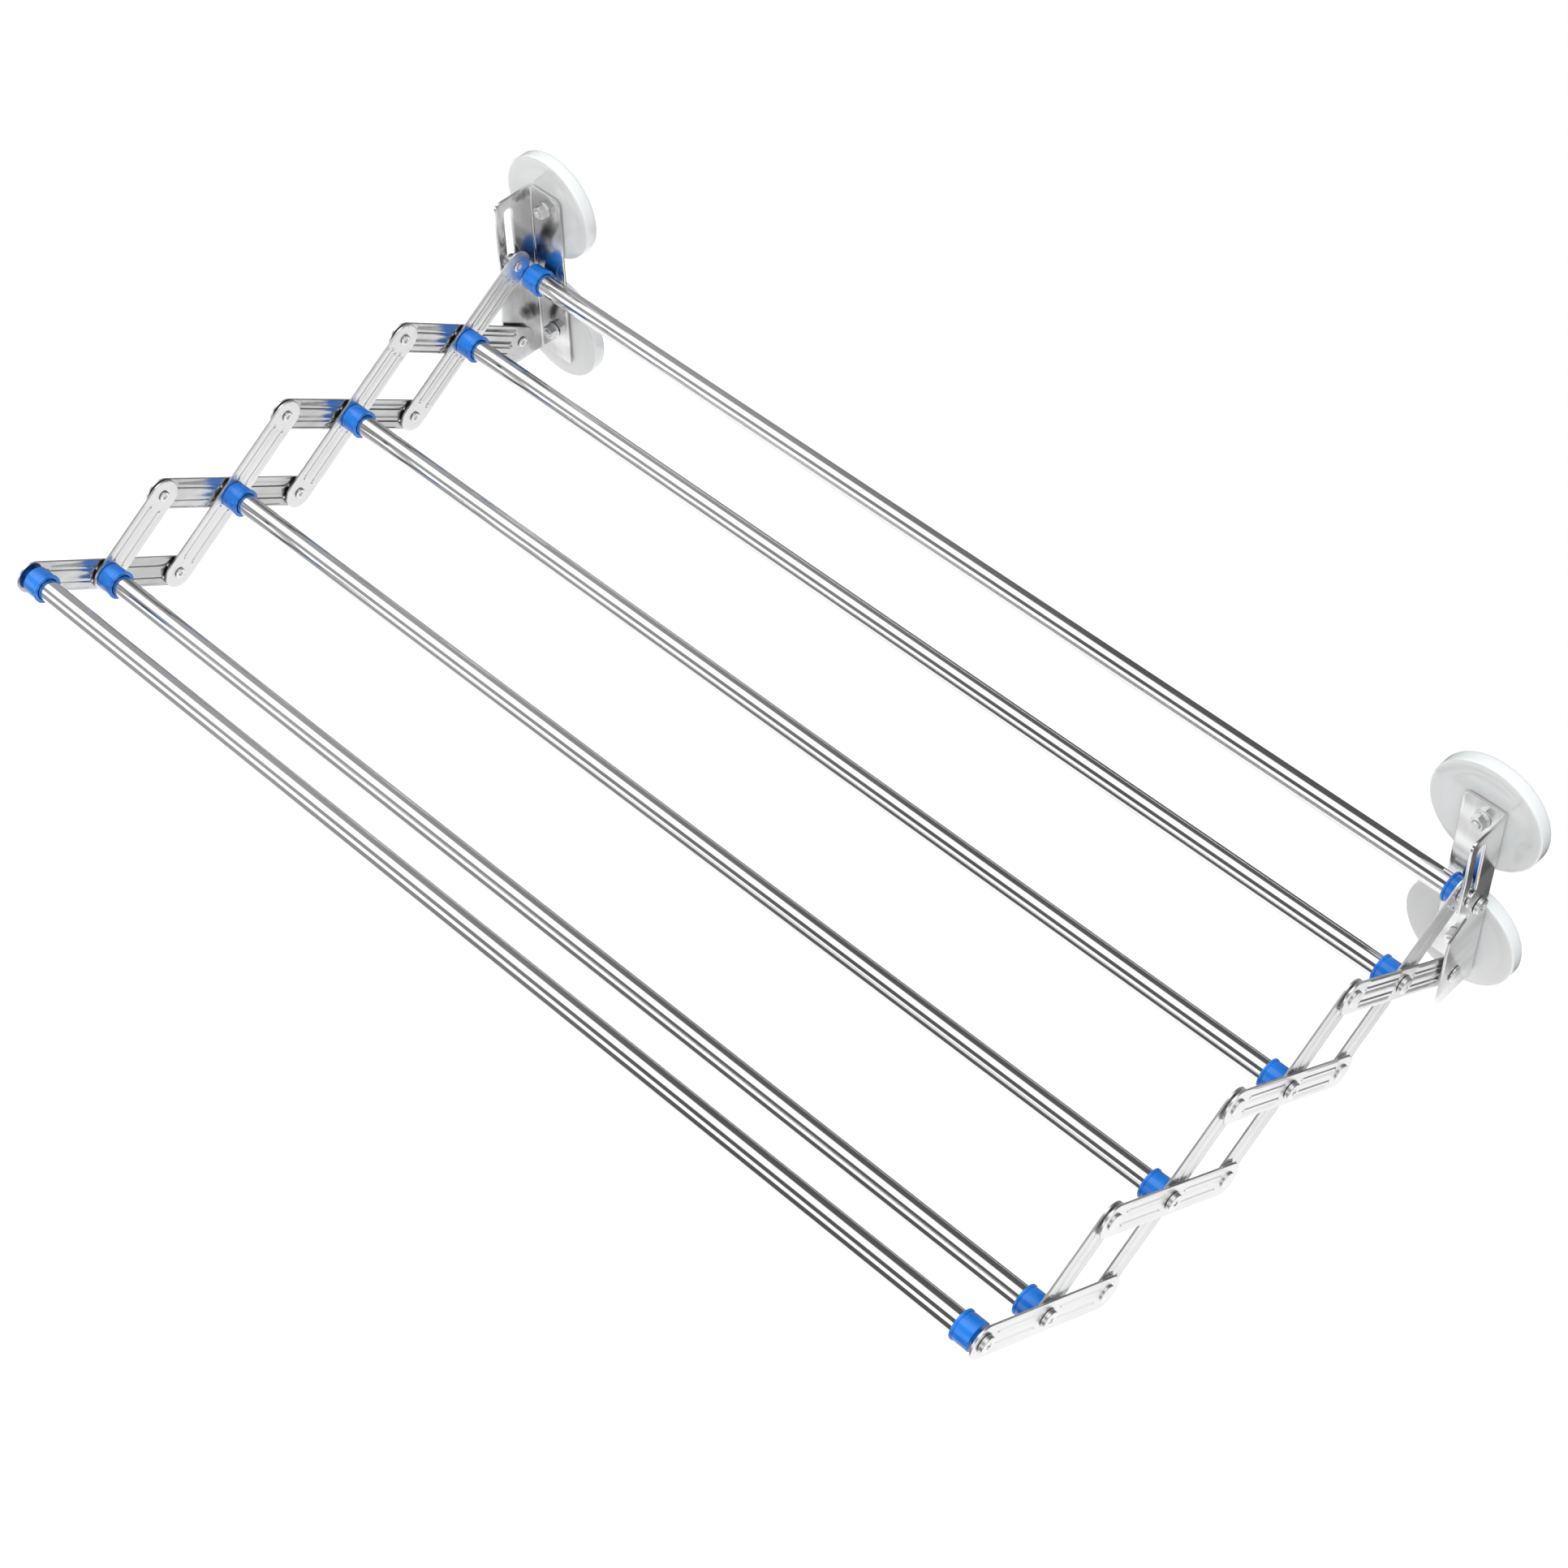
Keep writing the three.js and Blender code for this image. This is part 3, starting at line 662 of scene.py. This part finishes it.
def link_pattern(halves, holes):
    """Flat pattern of a link: coarse along the beads, fine across them and round their ends."""
    length = halves * half_link
    radius = LINK_RADIUS * MM
    outline = np.concatenate([arc((length, 0), radius, -90, 90, 25), arc((0, 0), radius, 90, 270, 25)])
    bead_ends = [end for half in range(halves) for end in
                 (half * half_link + BEAD_START * MM, (half + 1) * half_link - BEAD_START * MM)]
    fine = np.concatenate([end + np.arange(-2.4, 2.41, 0.4) * MM for end in bead_ends])
    coarse = np.arange(-9, length / MM + 9, 2.5) * MM
    coarse = coarse[np.abs(coarse[:, None] - np.array(bead_ends)).min(axis=1) > 3.2 * MM]
    rows = np.arange(-9.2, 9.21, 0.4) * MM
    cuts = [circle((distance, 0), hole) for distance, hole in holes]
    return flat_pattern(outline, cuts, np.sort(np.r_[coarse, fine]), rows, 0.35 * MM)


def place_link(flat, relief, start, end, layer, side, raised):
    """Carries a flat pattern to its place: u runs from one pivot towards the other.
    The relief pushes each point along X, outwards when raised is 1 and inwards when it is -1."""
    run = (end - start) / np.linalg.norm(end - start)
    across = np.array([-run[1], run[0]])
    yz = start + flat[:, :1] * run + flat[:, 1:] * across
    x = side * (layer + raised * relief)
    return np.column_stack([x, yz])


on_bead = bead_relief(np.array([half_link / 2]), np.array([BEAD_OFFSET * MM]), 1)[0]
print("height on a bead", round(on_bead / MM, 2), "mm")

# %% [markdown]
# The inner links hang from the upper tips. The last one is only half as long and ends at its
# crossing.

# %% Inner links
full_link = link_pattern(2, [(half_link, SCREW_HOLE * MM), (0, PIN_HOLE * MM),
                             (2 * half_link, PIN_HOLE * MM)])
half_inner = link_pattern(1, [(0, PIN_HOLE * MM), (half_link, SCREW_HOLE * MM)])
for n in range(1, STAGES + 1):
    halves = 1 if n == STAGES else 2
    flat, triangles = half_inner if n == STAGES else full_link
    relief = bead_relief(flat[:, 0], flat[:, 1], halves)
    for side_name, side in SIDES.items():
        node = f"inner_link_{n}_{side_name}"
        points = place_link(flat, relief, upper_tips[n - 1], crossings[n - 1], inner_face, side, -1)
        add_sheet(f"{node}_strip", points, triangles, GAUGE * MM, -1, [strip_down], node,
                  (-side, 0, 0), LINK_BEVEL * MM)
print("link pattern:", len(full_link[0]), "points")

# %% [markdown]
# The outer links rise from the lower tips. Their raised faces are satin from the press, and their
# backs, which face into the rack, keep the brighter and darker streaks of the rolled sheet on a
# colour painted darker than the faces: painted shade for the dark reflections seen there.

# %% Outer links
flat, triangles = full_link
relief = bead_relief(flat[:, 0], flat[:, 1], 2)
for n in range(1, STAGES + 1):
    for side_name, side in SIDES.items():
        node = f"outer_link_{n}_{side_name}"
        points = place_link(flat, relief, lower_tips[n - 1], crossings[n - 1], outer_back, side, 1)
        # the second material, on the backs, carries painted shade
        add_sheet(f"{node}_strip", points, triangles, GAUGE * MM, -1, [strip_up, strip_back_painted_dark], node,
                  (side, 0, 0), LINK_BEVEL * MM)
print("outer links stand", round((outer_face - inner_back) / MM, 2), "mm off the inner ones")

# %% [markdown]
# ## Hollow rivets
# The tips turn on hollow rivets: a smooth domed head outside, and inside an end that was rolled
# over and left an uneven hollow. Between the chains each rivet has a shoulder that keeps them
# apart, and the crossings have a raised boss that does the same.

# %% Rivets and bosses
RIVET_HEAD = 5.0
RIVET_HEAD_HEIGHT = 1.3
RIVET_ROLL = 3.4
RIVET_ROLL_HEIGHT = 0.9
RIVET_SHANK = 2.2
SHOULDER = 5.0
HOLLOW = 1.5
HOLLOW_DEPTH = 1.1
TOUCH = 0.3                         # air between a rivet and the sheet it holds
RIVET_AROUND = 48


def rivet_points(link_inner, stations, head_base, seed):
    """A rivet along X: rolled end, shank, the stations between the layers, and the domed head.
    The hollow's radius wavers by two sines of the angle, because the punch split it unevenly."""
    rolled = link_inner - TOUCH * MM
    lip = rolled - RIVET_ROLL_HEIGHT * MM
    corners = [(lip + HOLLOW_DEPTH * MM, 0), (lip + HOLLOW_DEPTH * MM, HOLLOW * 0.7 * MM),
               (lip + 0.1 * MM, HOLLOW * MM), (lip, 0.5 * (HOLLOW + RIVET_ROLL) * MM),
               (lip + 0.3 * MM, RIVET_ROLL * 0.97 * MM), (rolled, RIVET_ROLL * MM),
               (rolled, RIVET_SHANK * MM), *stations, (head_base, RIVET_HEAD * MM)]
    along, radius = filleted(corners, 0.25 * MM).T
    head_along, head_radius = head_profile(head_base, RIVET_HEAD * MM, RIVET_HEAD_HEIGHT * MM)
    along, radius = np.r_[along, head_along], np.r_[radius, head_radius]
    grid = turned(along, radius, around=RIVET_AROUND)
    angle = np.linspace(0, 2 * np.pi, RIVET_AROUND, endpoint=False)
    waver = 1 + 0.14 * np.sin(3 * angle + seed) + 0.08 * np.sin(5 * angle + 2.3 * seed)
    hollow = (np.arange(len(along)) > 0) & (radius < HOLLOW * 1.05 * MM) & (along < rolled)
    grid[hollow, :, 1:] *= waver[None, :, None]
    return grid


shoulder = [(inner_back + TOUCH * MM, RIVET_SHANK * MM), (inner_back + TOUCH * MM, SHOULDER * MM),
            (outer_face, SHOULDER * MM), (outer_face, RIVET_SHANK * MM),
            (outer_back, RIVET_SHANK * MM)]
boss_corners = [(outer_face, SCREW_HOLE * MM), (inner_back + TOUCH * MM, SCREW_HOLE * MM),
                (inner_back + TOUCH * MM, SHOULDER * MM), (outer_face, SHOULDER * MM),
                (outer_face, SCREW_HOLE * 1.01 * MM)]
boss_grid = turned(*filleted(boss_corners, 0.2 * MM).T, around=RIVET_AROUND)
rivets = 0
for n in range(1, STAGES + 1):
    tips = {"lower": lower_tips[n - 1], "upper": upper_tips[n]}
    for side_name, side in SIDES.items():
        node = f"outer_link_{n}_{side_name}"
        points, faces = skin(boss_grid, ring=True)
        points = moved(points, side, crossings[n - 1])
        add_piece(f"{node}_boss", points, faces, strip_up, node, False)
        for tip, where in tips.items():
            if (n == 1 and tip == "lower") or (n == STAGES and tip == "upper"):
                continue
            grid = rivet_points(inner_face, shoulder, outer_back, seed=1.7 * n + side + len(tip))
            points, faces = skin(grid)
            points = moved(points, side, where)
            add_piece(f"{node}_{tip}_rivet", points, faces, rivet_steel, node, False)
            rivets += 1
print("rivets at the tips:", rivets)

# %% [markdown]
# ## Rivets at the brackets
# Two longer rivets tie each scissor frame to its bracket: one in a plain hole, and one that slides
# in the upright slot when the rack is pushed back.

# %% Slide and pivot rivets
BRACKET_GAUGE = 1.5
SLIDE_RADIUS = 2.9

flange_inner = flange_outer - BRACKET_GAUGE * MM


def bracket_rivet(link_inner, link_back, shank):
    """A longer rivet: its shoulder fills the space between a link and the bracket's flange."""
    stations = [(link_back + TOUCH * MM, RIVET_SHANK * MM), (link_back + TOUCH * MM, SHOULDER * MM),
                (flange_inner - TOUCH * MM, SHOULDER * MM), (flange_inner - TOUCH * MM, shank),
                (flange_outer + TOUCH * MM, shank)]
    return rivet_points(link_inner, stations, flange_outer + TOUCH * MM, seed=0.8)


slide_grid = bracket_rivet(inner_face, inner_back, SLIDE_RADIUS * MM)
pivot_grid = bracket_rivet(outer_face, outer_back, RIVET_SHANK * MM)
kinds = (("slide", slide_grid, slide_pin), ("pivot", pivot_grid, lower_tips[0]))
for side_name, side in SIDES.items():
    for kind, grid, where in kinds:
        node = f"{kind}_rivet_{side_name}"
        points, faces = skin(grid)
        add_piece(f"{node}_turned", moved(points, side, where), faces, rivet_steel, node)
print("bracket flange from", round(flange_inner / MM, 1), "to", round(flange_outer / MM, 1), "mm")

# %% [markdown]
# ## Wall brackets
# A bracket is one sheet folded at a right angle. Its flat pattern holds the whole outline: the
# side flange with its slot and notch to one side of the fold, the wall flange with the stud holes
# to the other. Distance across the fold line becomes an angle inside the bend, so the sheet wraps
# round it without stretching.

# %% Bracket pattern
BEND_RADIUS = 1.6
CORNER = 5.0
SLOT_WEB = 6.3                      # metal in front of the slot
SLOT_END_WEB = 7.3                  # metal above it
SLOT_HALF = 3.2
NOTCH_BACK = 2.5                    # the notch's root, behind the slot's middle
NOTCH_TOP = 4.8                     # these three are measured down from the slide pin
NOTCH_ROOT = 15.8
NOTCH_END = 27.8
LOBE_FRONT = 11.7                   # the lobe's front edge, ahead of the slot's middle
STUD_HOLE = 2.7
EDGE_STEP = 0.6
COLUMN_STEP, ROW_STEP = 1.6, 1.8

bracket_low, bracket_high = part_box("bracket_right")
wall_middle = bracket_high.y - BRACKET_GAUGE * MM / 2
side_middle = flange_outer - BRACKET_GAUGE * MM / 2
bend_middle = (BEND_RADIUS + BRACKET_GAUGE / 2) * MM
bend_length = np.pi / 2 * bend_middle
bend_start = wall_middle - bend_middle
wall_run = bend_length + side_middle - bend_middle      # pattern distance minus x, past the bend
pattern_end = wall_run - bracket_low.x
stud_x = sum(reach_x("nut_right_upper")) / 2
stud_levels = [middle_yz(f"nut_right_{level}")[1] for level in ("lower", "upper")]


def rounded_loop(corners, steps=7):
    """A closed loop through (s, z, radius) corners, each one rounded by a quadratic curve."""
    corners = np.array(corners, float)
    share = np.linspace(0, 1, steps)[:, None]
    pieces = []
    for i, corner in enumerate(corners):
        centre, radius = corner[:2], corner[2]
        back = corners[i - 1, :2] - centre
        ahead = corners[(i + 1) % len(corners), :2] - centre
        back, ahead = back / np.linalg.norm(back), ahead / np.linalg.norm(ahead)
        cut = radius / np.tan(np.arccos(np.clip(back @ ahead, -1, 1)) / 2)
        start, end = centre + back * cut, centre + ahead * cut
        curve = (1 - share) ** 2 * start + 2 * share * (1 - share) * centre + share ** 2 * end
        pieces.append(curve)
    return np.concatenate(pieces)


def bracket_pattern():
    """The outline and holes of a bracket in (s, z), where s is 0 at the start of the bend.
    The slot ends at the slide pin's place at rest, and the lobe carries the wall pivot."""
    bottom, top = bracket_low.z, bracket_high.z
    pivot_y, pin_z = slide_pin

    def flat_y(y):
        return y - bend_start

    front = flat_y(pivot_y - (SLOT_HALF + SLOT_WEB) * MM)
    lobe = flat_y(pivot_y - LOBE_FRONT * MM)
    outline = rounded_loop([
        (pattern_end, bottom, 2 * MM), (pattern_end, top, CORNER * MM), (front, top, CORNER * MM),
        (front, pin_z - NOTCH_TOP * MM, 1 * MM),
        (flat_y(pivot_y + NOTCH_BACK * MM), pin_z - NOTCH_ROOT * MM, 2.5 * MM),
        (lobe, pin_z - NOTCH_END * MM, 1.5 * MM), (lobe, bottom, 2.5 * MM)])
    outline = divided(outline, EDGE_STEP * MM)
    slot_top = top - (SLOT_HALF + SLOT_END_WEB) * MM
    slot = np.concatenate([arc((flat_y(pivot_y), slot_top), SLOT_HALF * MM, 0, 180, 17),
                           arc((flat_y(pivot_y), pin_z), SLOT_HALF * MM, 180, 360, 17)])
    rear = middle_yz("rail_1")
    holes = [slot, circle((flat_y(pivot_y), lower_tips[0][1]), PIN_HOLE * MM),
             circle((flat_y(rear[0]), rear[1]), SCREW_HOLE * MM)]
    holes += [circle((wall_run - stud_x, level), STUD_HOLE * MM) for level in stud_levels]
    step = COLUMN_STEP * MM
    flange_columns = np.arange(lobe + 0.7 * MM, 0, step)
    bend_columns = np.linspace(0, bend_length, 9)
    wall_columns = np.arange(bend_length + step, pattern_end, step)
    columns = np.r_[flange_columns, bend_columns, wall_columns]
    rows = np.arange(bottom + 1 * MM, top, ROW_STEP * MM)
    return flat_pattern(outline, holes, columns, rows, 0.5 * MM)


def fold(flat):
    """Bends a flat pattern: straight before the bend, an arc in it, straight after it."""
    s, z = flat.T
    angle = np.clip(s / bend_middle, 0, np.pi / 2)
    x = side_middle - bend_middle * (1 - np.cos(angle)) - np.maximum(s - bend_length, 0)
    y = bend_start + np.minimum(s, 0) + bend_middle * np.sin(angle)
    return np.column_stack([x, y, z])


print("flat pattern", round((pattern_end + bend_start - bracket_low.y) / MM, 1), "mm across")

# %% [markdown]
# The press that folds the sheet also leaves it not quite flat: each flange bows by a fraction of
# a millimetre, and that is what makes the reflections in it soft and uneven.

# %% Two brackets
BOW = 0.25
BOW_LENGTH = 38.0
BOW_REACH = 18                      # distance from the fold at which the bow is whole
BRACKET_BEVEL = 0.2

flat, triangles = bracket_pattern()
folded = fold(flat)
turn_share = np.clip(flat[:, 0] / bend_length, 0, 1)
wave = np.sin(2 * np.pi * (flat[:, 1] - bracket_low.z) / (BOW_LENGTH * MM) + 0.6)
wave *= np.minimum(np.abs(flat[:, 0] - bend_length / 2) / (BOW_REACH * MM), 1) ** 1.5
dent = BOW * MM * (wave + 1) / 2
folded[:, 0] -= dent * (1 - turn_share)
folded[:, 1] -= dent * turn_share
for side_name, side in SIDES.items():
    node = f"bracket_{side_name}"
    points = folded * (side, 1, 1)
    add_sheet(f"{node}_sheet", points, triangles, BRACKET_GAUGE * MM, 0, [bracket_steel], node,
              (side, 1, 0), BRACKET_BEVEL * MM)
print("bracket:", len(flat), "points, fold", round(bend_length / MM, 2), "mm long")

# %% [markdown]
# ## Wall pads
# Each pad is a thick milky disc that is pressed or bonded to the wall, with a threaded stud
# standing out of it. The disc is turned about the stud's axis, so it is made along X and then
# laid over to point out of the wall.

# %% Pads and studs
PAD_THICKNESS = 8.6
PAD_ROUND = 1.3
FACE_DISH = 0.35
STUD_RADIUS = 2.4
THREAD_PITCH = 0.8
THREAD_DEPTH = 0.3
STUD_AROUND = 40

pad_low, pad_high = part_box("pad_right_upper")
pad_radius = (pad_high.z - pad_low.z) / 2
stud_end = -pad_low.y


def out_of_wall(grid):
    """Turns a piece made along X so that it points out of the wall, along -Y."""
    return np.stack([grid[..., 1], -grid[..., 0], grid[..., 2]], axis=-1)


def pad_points():
    """A disc with rounded edges and a face that is dished a little towards its middle."""
    thick = PAD_THICKNESS * MM
    corners = [(0, 0), (0, pad_radius), (thick, pad_radius), (thick, pad_radius - 4 * MM),
               (thick - FACE_DISH * MM, pad_radius - 9 * MM), (thick - FACE_DISH * MM, 0)]
    along, radius = filleted(corners, PAD_ROUND * MM, steps=6).T
    return turned(along, radius, around=128)


def stud_points():
    """A threaded stud: the radius dips by the thread depth once in every pitch, and the dip
    moves along the stud as the angle grows, which makes it a helix."""
    along = np.arange((PAD_THICKNESS - 1) * MM, stud_end, THREAD_PITCH / 8 * MM)
    angle = np.linspace(0, 2 * np.pi, STUD_AROUND, endpoint=False)
    phase = (along[:, None] / (THREAD_PITCH * MM) - angle[None] / (2 * np.pi)) % 1
    ridge = np.abs(2 * phase - 1)
    taper = np.clip((stud_end - along) / (0.8 * MM), 0.35, 1)[:, None]
    radius = STUD_RADIUS * MM - THREAD_DEPTH * MM * (1 - ridge * taper)
    along = np.r_[along[0], along, stud_end]
    pole = np.zeros(STUD_AROUND)
    return turned(along, np.vstack([pole, radius, pole]), around=STUD_AROUND)


parts = (("disc", out_of_wall(pad_points()), material_milky),
         ("stud", out_of_wall(stud_points()), rivet_steel))
for side_name, side in SIDES.items():
    for level, z in zip(("lower", "upper"), stud_levels):
        node = f"pad_{side_name}_{level}"
        where = (side * stud_x, 0, z)
        for part, grid, material in parts:
            points, faces = skin(grid)
            add_piece(f"{node}_{part}", points + where, faces, material, node, part == "disc")
print("pads: radius", round(pad_radius / MM, 1), "mm")

# %% [markdown]
# ## Flange nuts
# A hexagon nut is a hexagon whose corners are turned off at the end. In polar form the hexagon's
# radius grows towards each corner, and the chamfer is a cone that the radius may not pass.

# %% Four nuts
NUT_FLATS = 8.0
NUT_HEIGHT = 4.7
NUT_WASHER = 5.3
NUT_WASHER_HEIGHT = 0.8
NUT_BORE = 2.5
NUT_CONE = 1.9                      # growth of the chamfer's cone for each mm down from the top
NUT_AROUND = 96


def nut_points():
    """Rows from the washer's underside, up the hexagon to its chamfer, and down the bore."""
    angle = np.linspace(0, 2 * np.pi, NUT_AROUND, endpoint=False)
    hexagon = NUT_FLATS / 2 / np.cos((angle + np.pi / 6) % (np.pi / 3) - np.pi / 6)
    top = NUT_WASHER_HEIGHT + NUT_HEIGHT
    heights = NUT_WASHER_HEIGHT + NUT_HEIGHT * np.array([0.06, 0.5, 0.8, 0.86, 0.92, 0.96, 1.0])
    cone = NUT_FLATS / 2 + (top - heights) * NUT_CONE - 0.15
    sides = np.minimum(hexagon[None], cone[:, None])
    foot = [NUT_BORE, NUT_WASHER - 0.1, NUT_WASHER, NUT_WASHER - 0.15]
    mouth = [NUT_BORE + 0.3, NUT_BORE]
    full_row = np.ones(NUT_AROUND)
    radius = np.vstack([np.outer(foot, full_row), sides, np.outer(mouth, full_row)])
    along = np.r_[0, 0, 0.3, NUT_WASHER_HEIGHT, heights, top, top - 0.3]
    return turned(along * MM, radius * MM, around=NUT_AROUND)


nut_base = -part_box("nut_right_upper")[1].y
nut_grid = out_of_wall(nut_points() + (nut_base, 0, 0))
for side_name, side in SIDES.items():
    for level, z in zip(("lower", "upper"), stud_levels):
        node = f"nut_{side_name}_{level}"
        points, faces = skin(nut_grid, ring=True)
        add_piece(f"{node}_hex", points + (side * stud_x, 0, z), faces, rivet_steel, node, sharp=25)
print(counts)

# %% [markdown]
# ## Floor and light
# Polished metal shows nothing but its surroundings, so the light is built for the reflections:
# a broad soft light overhead, a lower one in front, and quieter air between them that gives each
# tube its dark lines. The floor is plain and pale and lies well below the rack. Its front edge
# ends it early enough to draw a second dark line along each tube. Its back edge is cut shorter
# on the right, which lets the flange of the right bracket fade to grey towards its top.

# %% Floor
FLOOR_LEVEL = -0.55
FLOOR_LEFT, FLOOR_RIGHT = -2.0, 1.6
FLOOR_FRONT, FLOOR_BACK = -0.85, 0.42
CUT_FROM, CUT_BACK = 0.3, 0.33      # the floor is shorter to the right of here

outline = [(FLOOR_LEFT, FLOOR_FRONT), (FLOOR_RIGHT, FLOOR_FRONT), (FLOOR_RIGHT, CUT_BACK),
           (CUT_FROM, CUT_BACK), (CUT_FROM, FLOOR_BACK), (FLOOR_LEFT, FLOOR_BACK)]
corners = [(x, y, FLOOR_LEVEL) for x, y in outline]
scene = bpy.context.scene
floor_mesh = bpy.data.meshes.new("floor")
floor_mesh.from_pydata(corners, [], [tuple(range(len(corners)))])
floor = bpy.data.objects.new("floor", floor_mesh)
scene.collection.objects.link(floor)
material_floor, tree, place = new_material("pale_floor")
speck = tree.node("ShaderNodeTexNoise", {}, {"Vector": place, "Scale": 3.0})
finish_material(tree, {"Specular IOR Level": 0.1}, color=speck.blend(grey(0.93), grey(0.95)),
                roughness=0.8 + 0.1 * speck)
floor_mesh.materials.append(material_floor)
print("floor", FLOOR_RIGHT - FLOOR_LEFT, "m by", round(FLOOR_BACK - FLOOR_FRONT, 3), "m")

# %% [markdown]
# The surroundings are a soft room made from the direction of a ray. Tilt is its angle in the
# plane across the tubes, from level towards the front, over the top, to the back. One band of
# tilt is the overhead light and one near the horizon is the front light. Some light comes from
# the left, and a grey level fills the rest. The camera itself sees plain white.

# %% Surroundings
ROOM = 0.11
OVERHEAD = 1.25
FRONT = 1.15
LEFT = 0.28
BACKDROP = 1.0

world = bpy.data.worlds.new("soft_room")
scene.world = world
tree = emptied(world)
direction = tree.node("ShaderNodeTexCoord", output="Generated")
x, y, z = (tree.node("ShaderNodeSeparateXYZ", {}, {0: direction}, output=i) for i in range(3))
tilt = tree.math("ARCTAN2", z, 0 - y)
overhead = tilt.between(1.05, 1.18) * tilt.between(2.12, 1.86)
front = tilt.between(-0.05, 0.03) * tilt.between(0.58, 0.48)
left = (0 - x).between(0.36, 0.64)
room = ROOM + OVERHEAD * overhead + FRONT * front + LEFT * left
seen = tree.node("ShaderNodeLightPath", output="Is Camera Ray")
level = room * (1 - seen) + BACKDROP * seen
background = tree.node("ShaderNodeBackground", {}, {"Strength": level, "Color": (1, 1, 1, 1)})
tree.node("ShaderNodeOutputWorld", {}, {"Surface": background})
print("the room has", len(world.node_tree.nodes), "nodes")

# %% [markdown]
# A broad lamp fills in the plain surfaces. It leans from overhead towards the camera's side, and
# it is left out of reflections, which the room already supplies.

# %% Fill lamp
FILL = 1.9
FILL_LEAN = 38                      # degrees from straight down
FILL_TURN = 45
FILL_WIDTH = 60

fill_data = bpy.data.lights.new("fill", "SUN")
fill_data.energy = FILL
fill_data.angle = np.radians(FILL_WIDTH)
fill = bpy.data.objects.new("fill", fill_data)
fill.rotation_euler = (np.radians(FILL_LEAN), 0, np.radians(FILL_TURN))
fill.visible_glossy = False
scene.collection.objects.link(fill)
print("fill lamp of", FILL, "leaning", FILL_LEAN, "degrees")

# %% [markdown]
# ## Camera
# The camera looks down on the rack from its front right corner. Two angles say where it looks
# from, and a small roll turns it about its own line of sight.

# %% Camera
AZIMUTH = 44.84
ELEVATION = 49.12
ROLL = -0.86
LENS = 77.87
CAMERA_AT = (0.8873, -1.0569, 1.3772)

azimuth, elevation, roll = np.radians([AZIMUTH, ELEVATION, ROLL])
outwards = np.cos(elevation)
back = np.array([np.sin(azimuth) * outwards, -np.cos(azimuth) * outwards, np.sin(elevation)])
right = np.cross((0, 0, 1), back)
right = right / np.linalg.norm(right)
up = np.cross(back, right)
rolled_right = np.cos(roll) * right + np.sin(roll) * up
rolled_up = -np.sin(roll) * right + np.cos(roll) * up
camera_data = bpy.data.cameras.new("camera")
camera_data.lens = LENS
camera_data.sensor_width = 36
camera_data.clip_end = 50
camera = bpy.data.objects.new("camera", camera_data)
camera.matrix_world = Matrix(np.column_stack([
    np.append(rolled_right, 0), np.append(rolled_up, 0), np.append(back, 0),
    np.append(CAMERA_AT, 1)]).tolist())
scene.collection.objects.link(camera)
scene.camera = camera
scene.view_settings.view_transform = "Standard"
print("camera at", CAMERA_AT)

# %% [markdown]
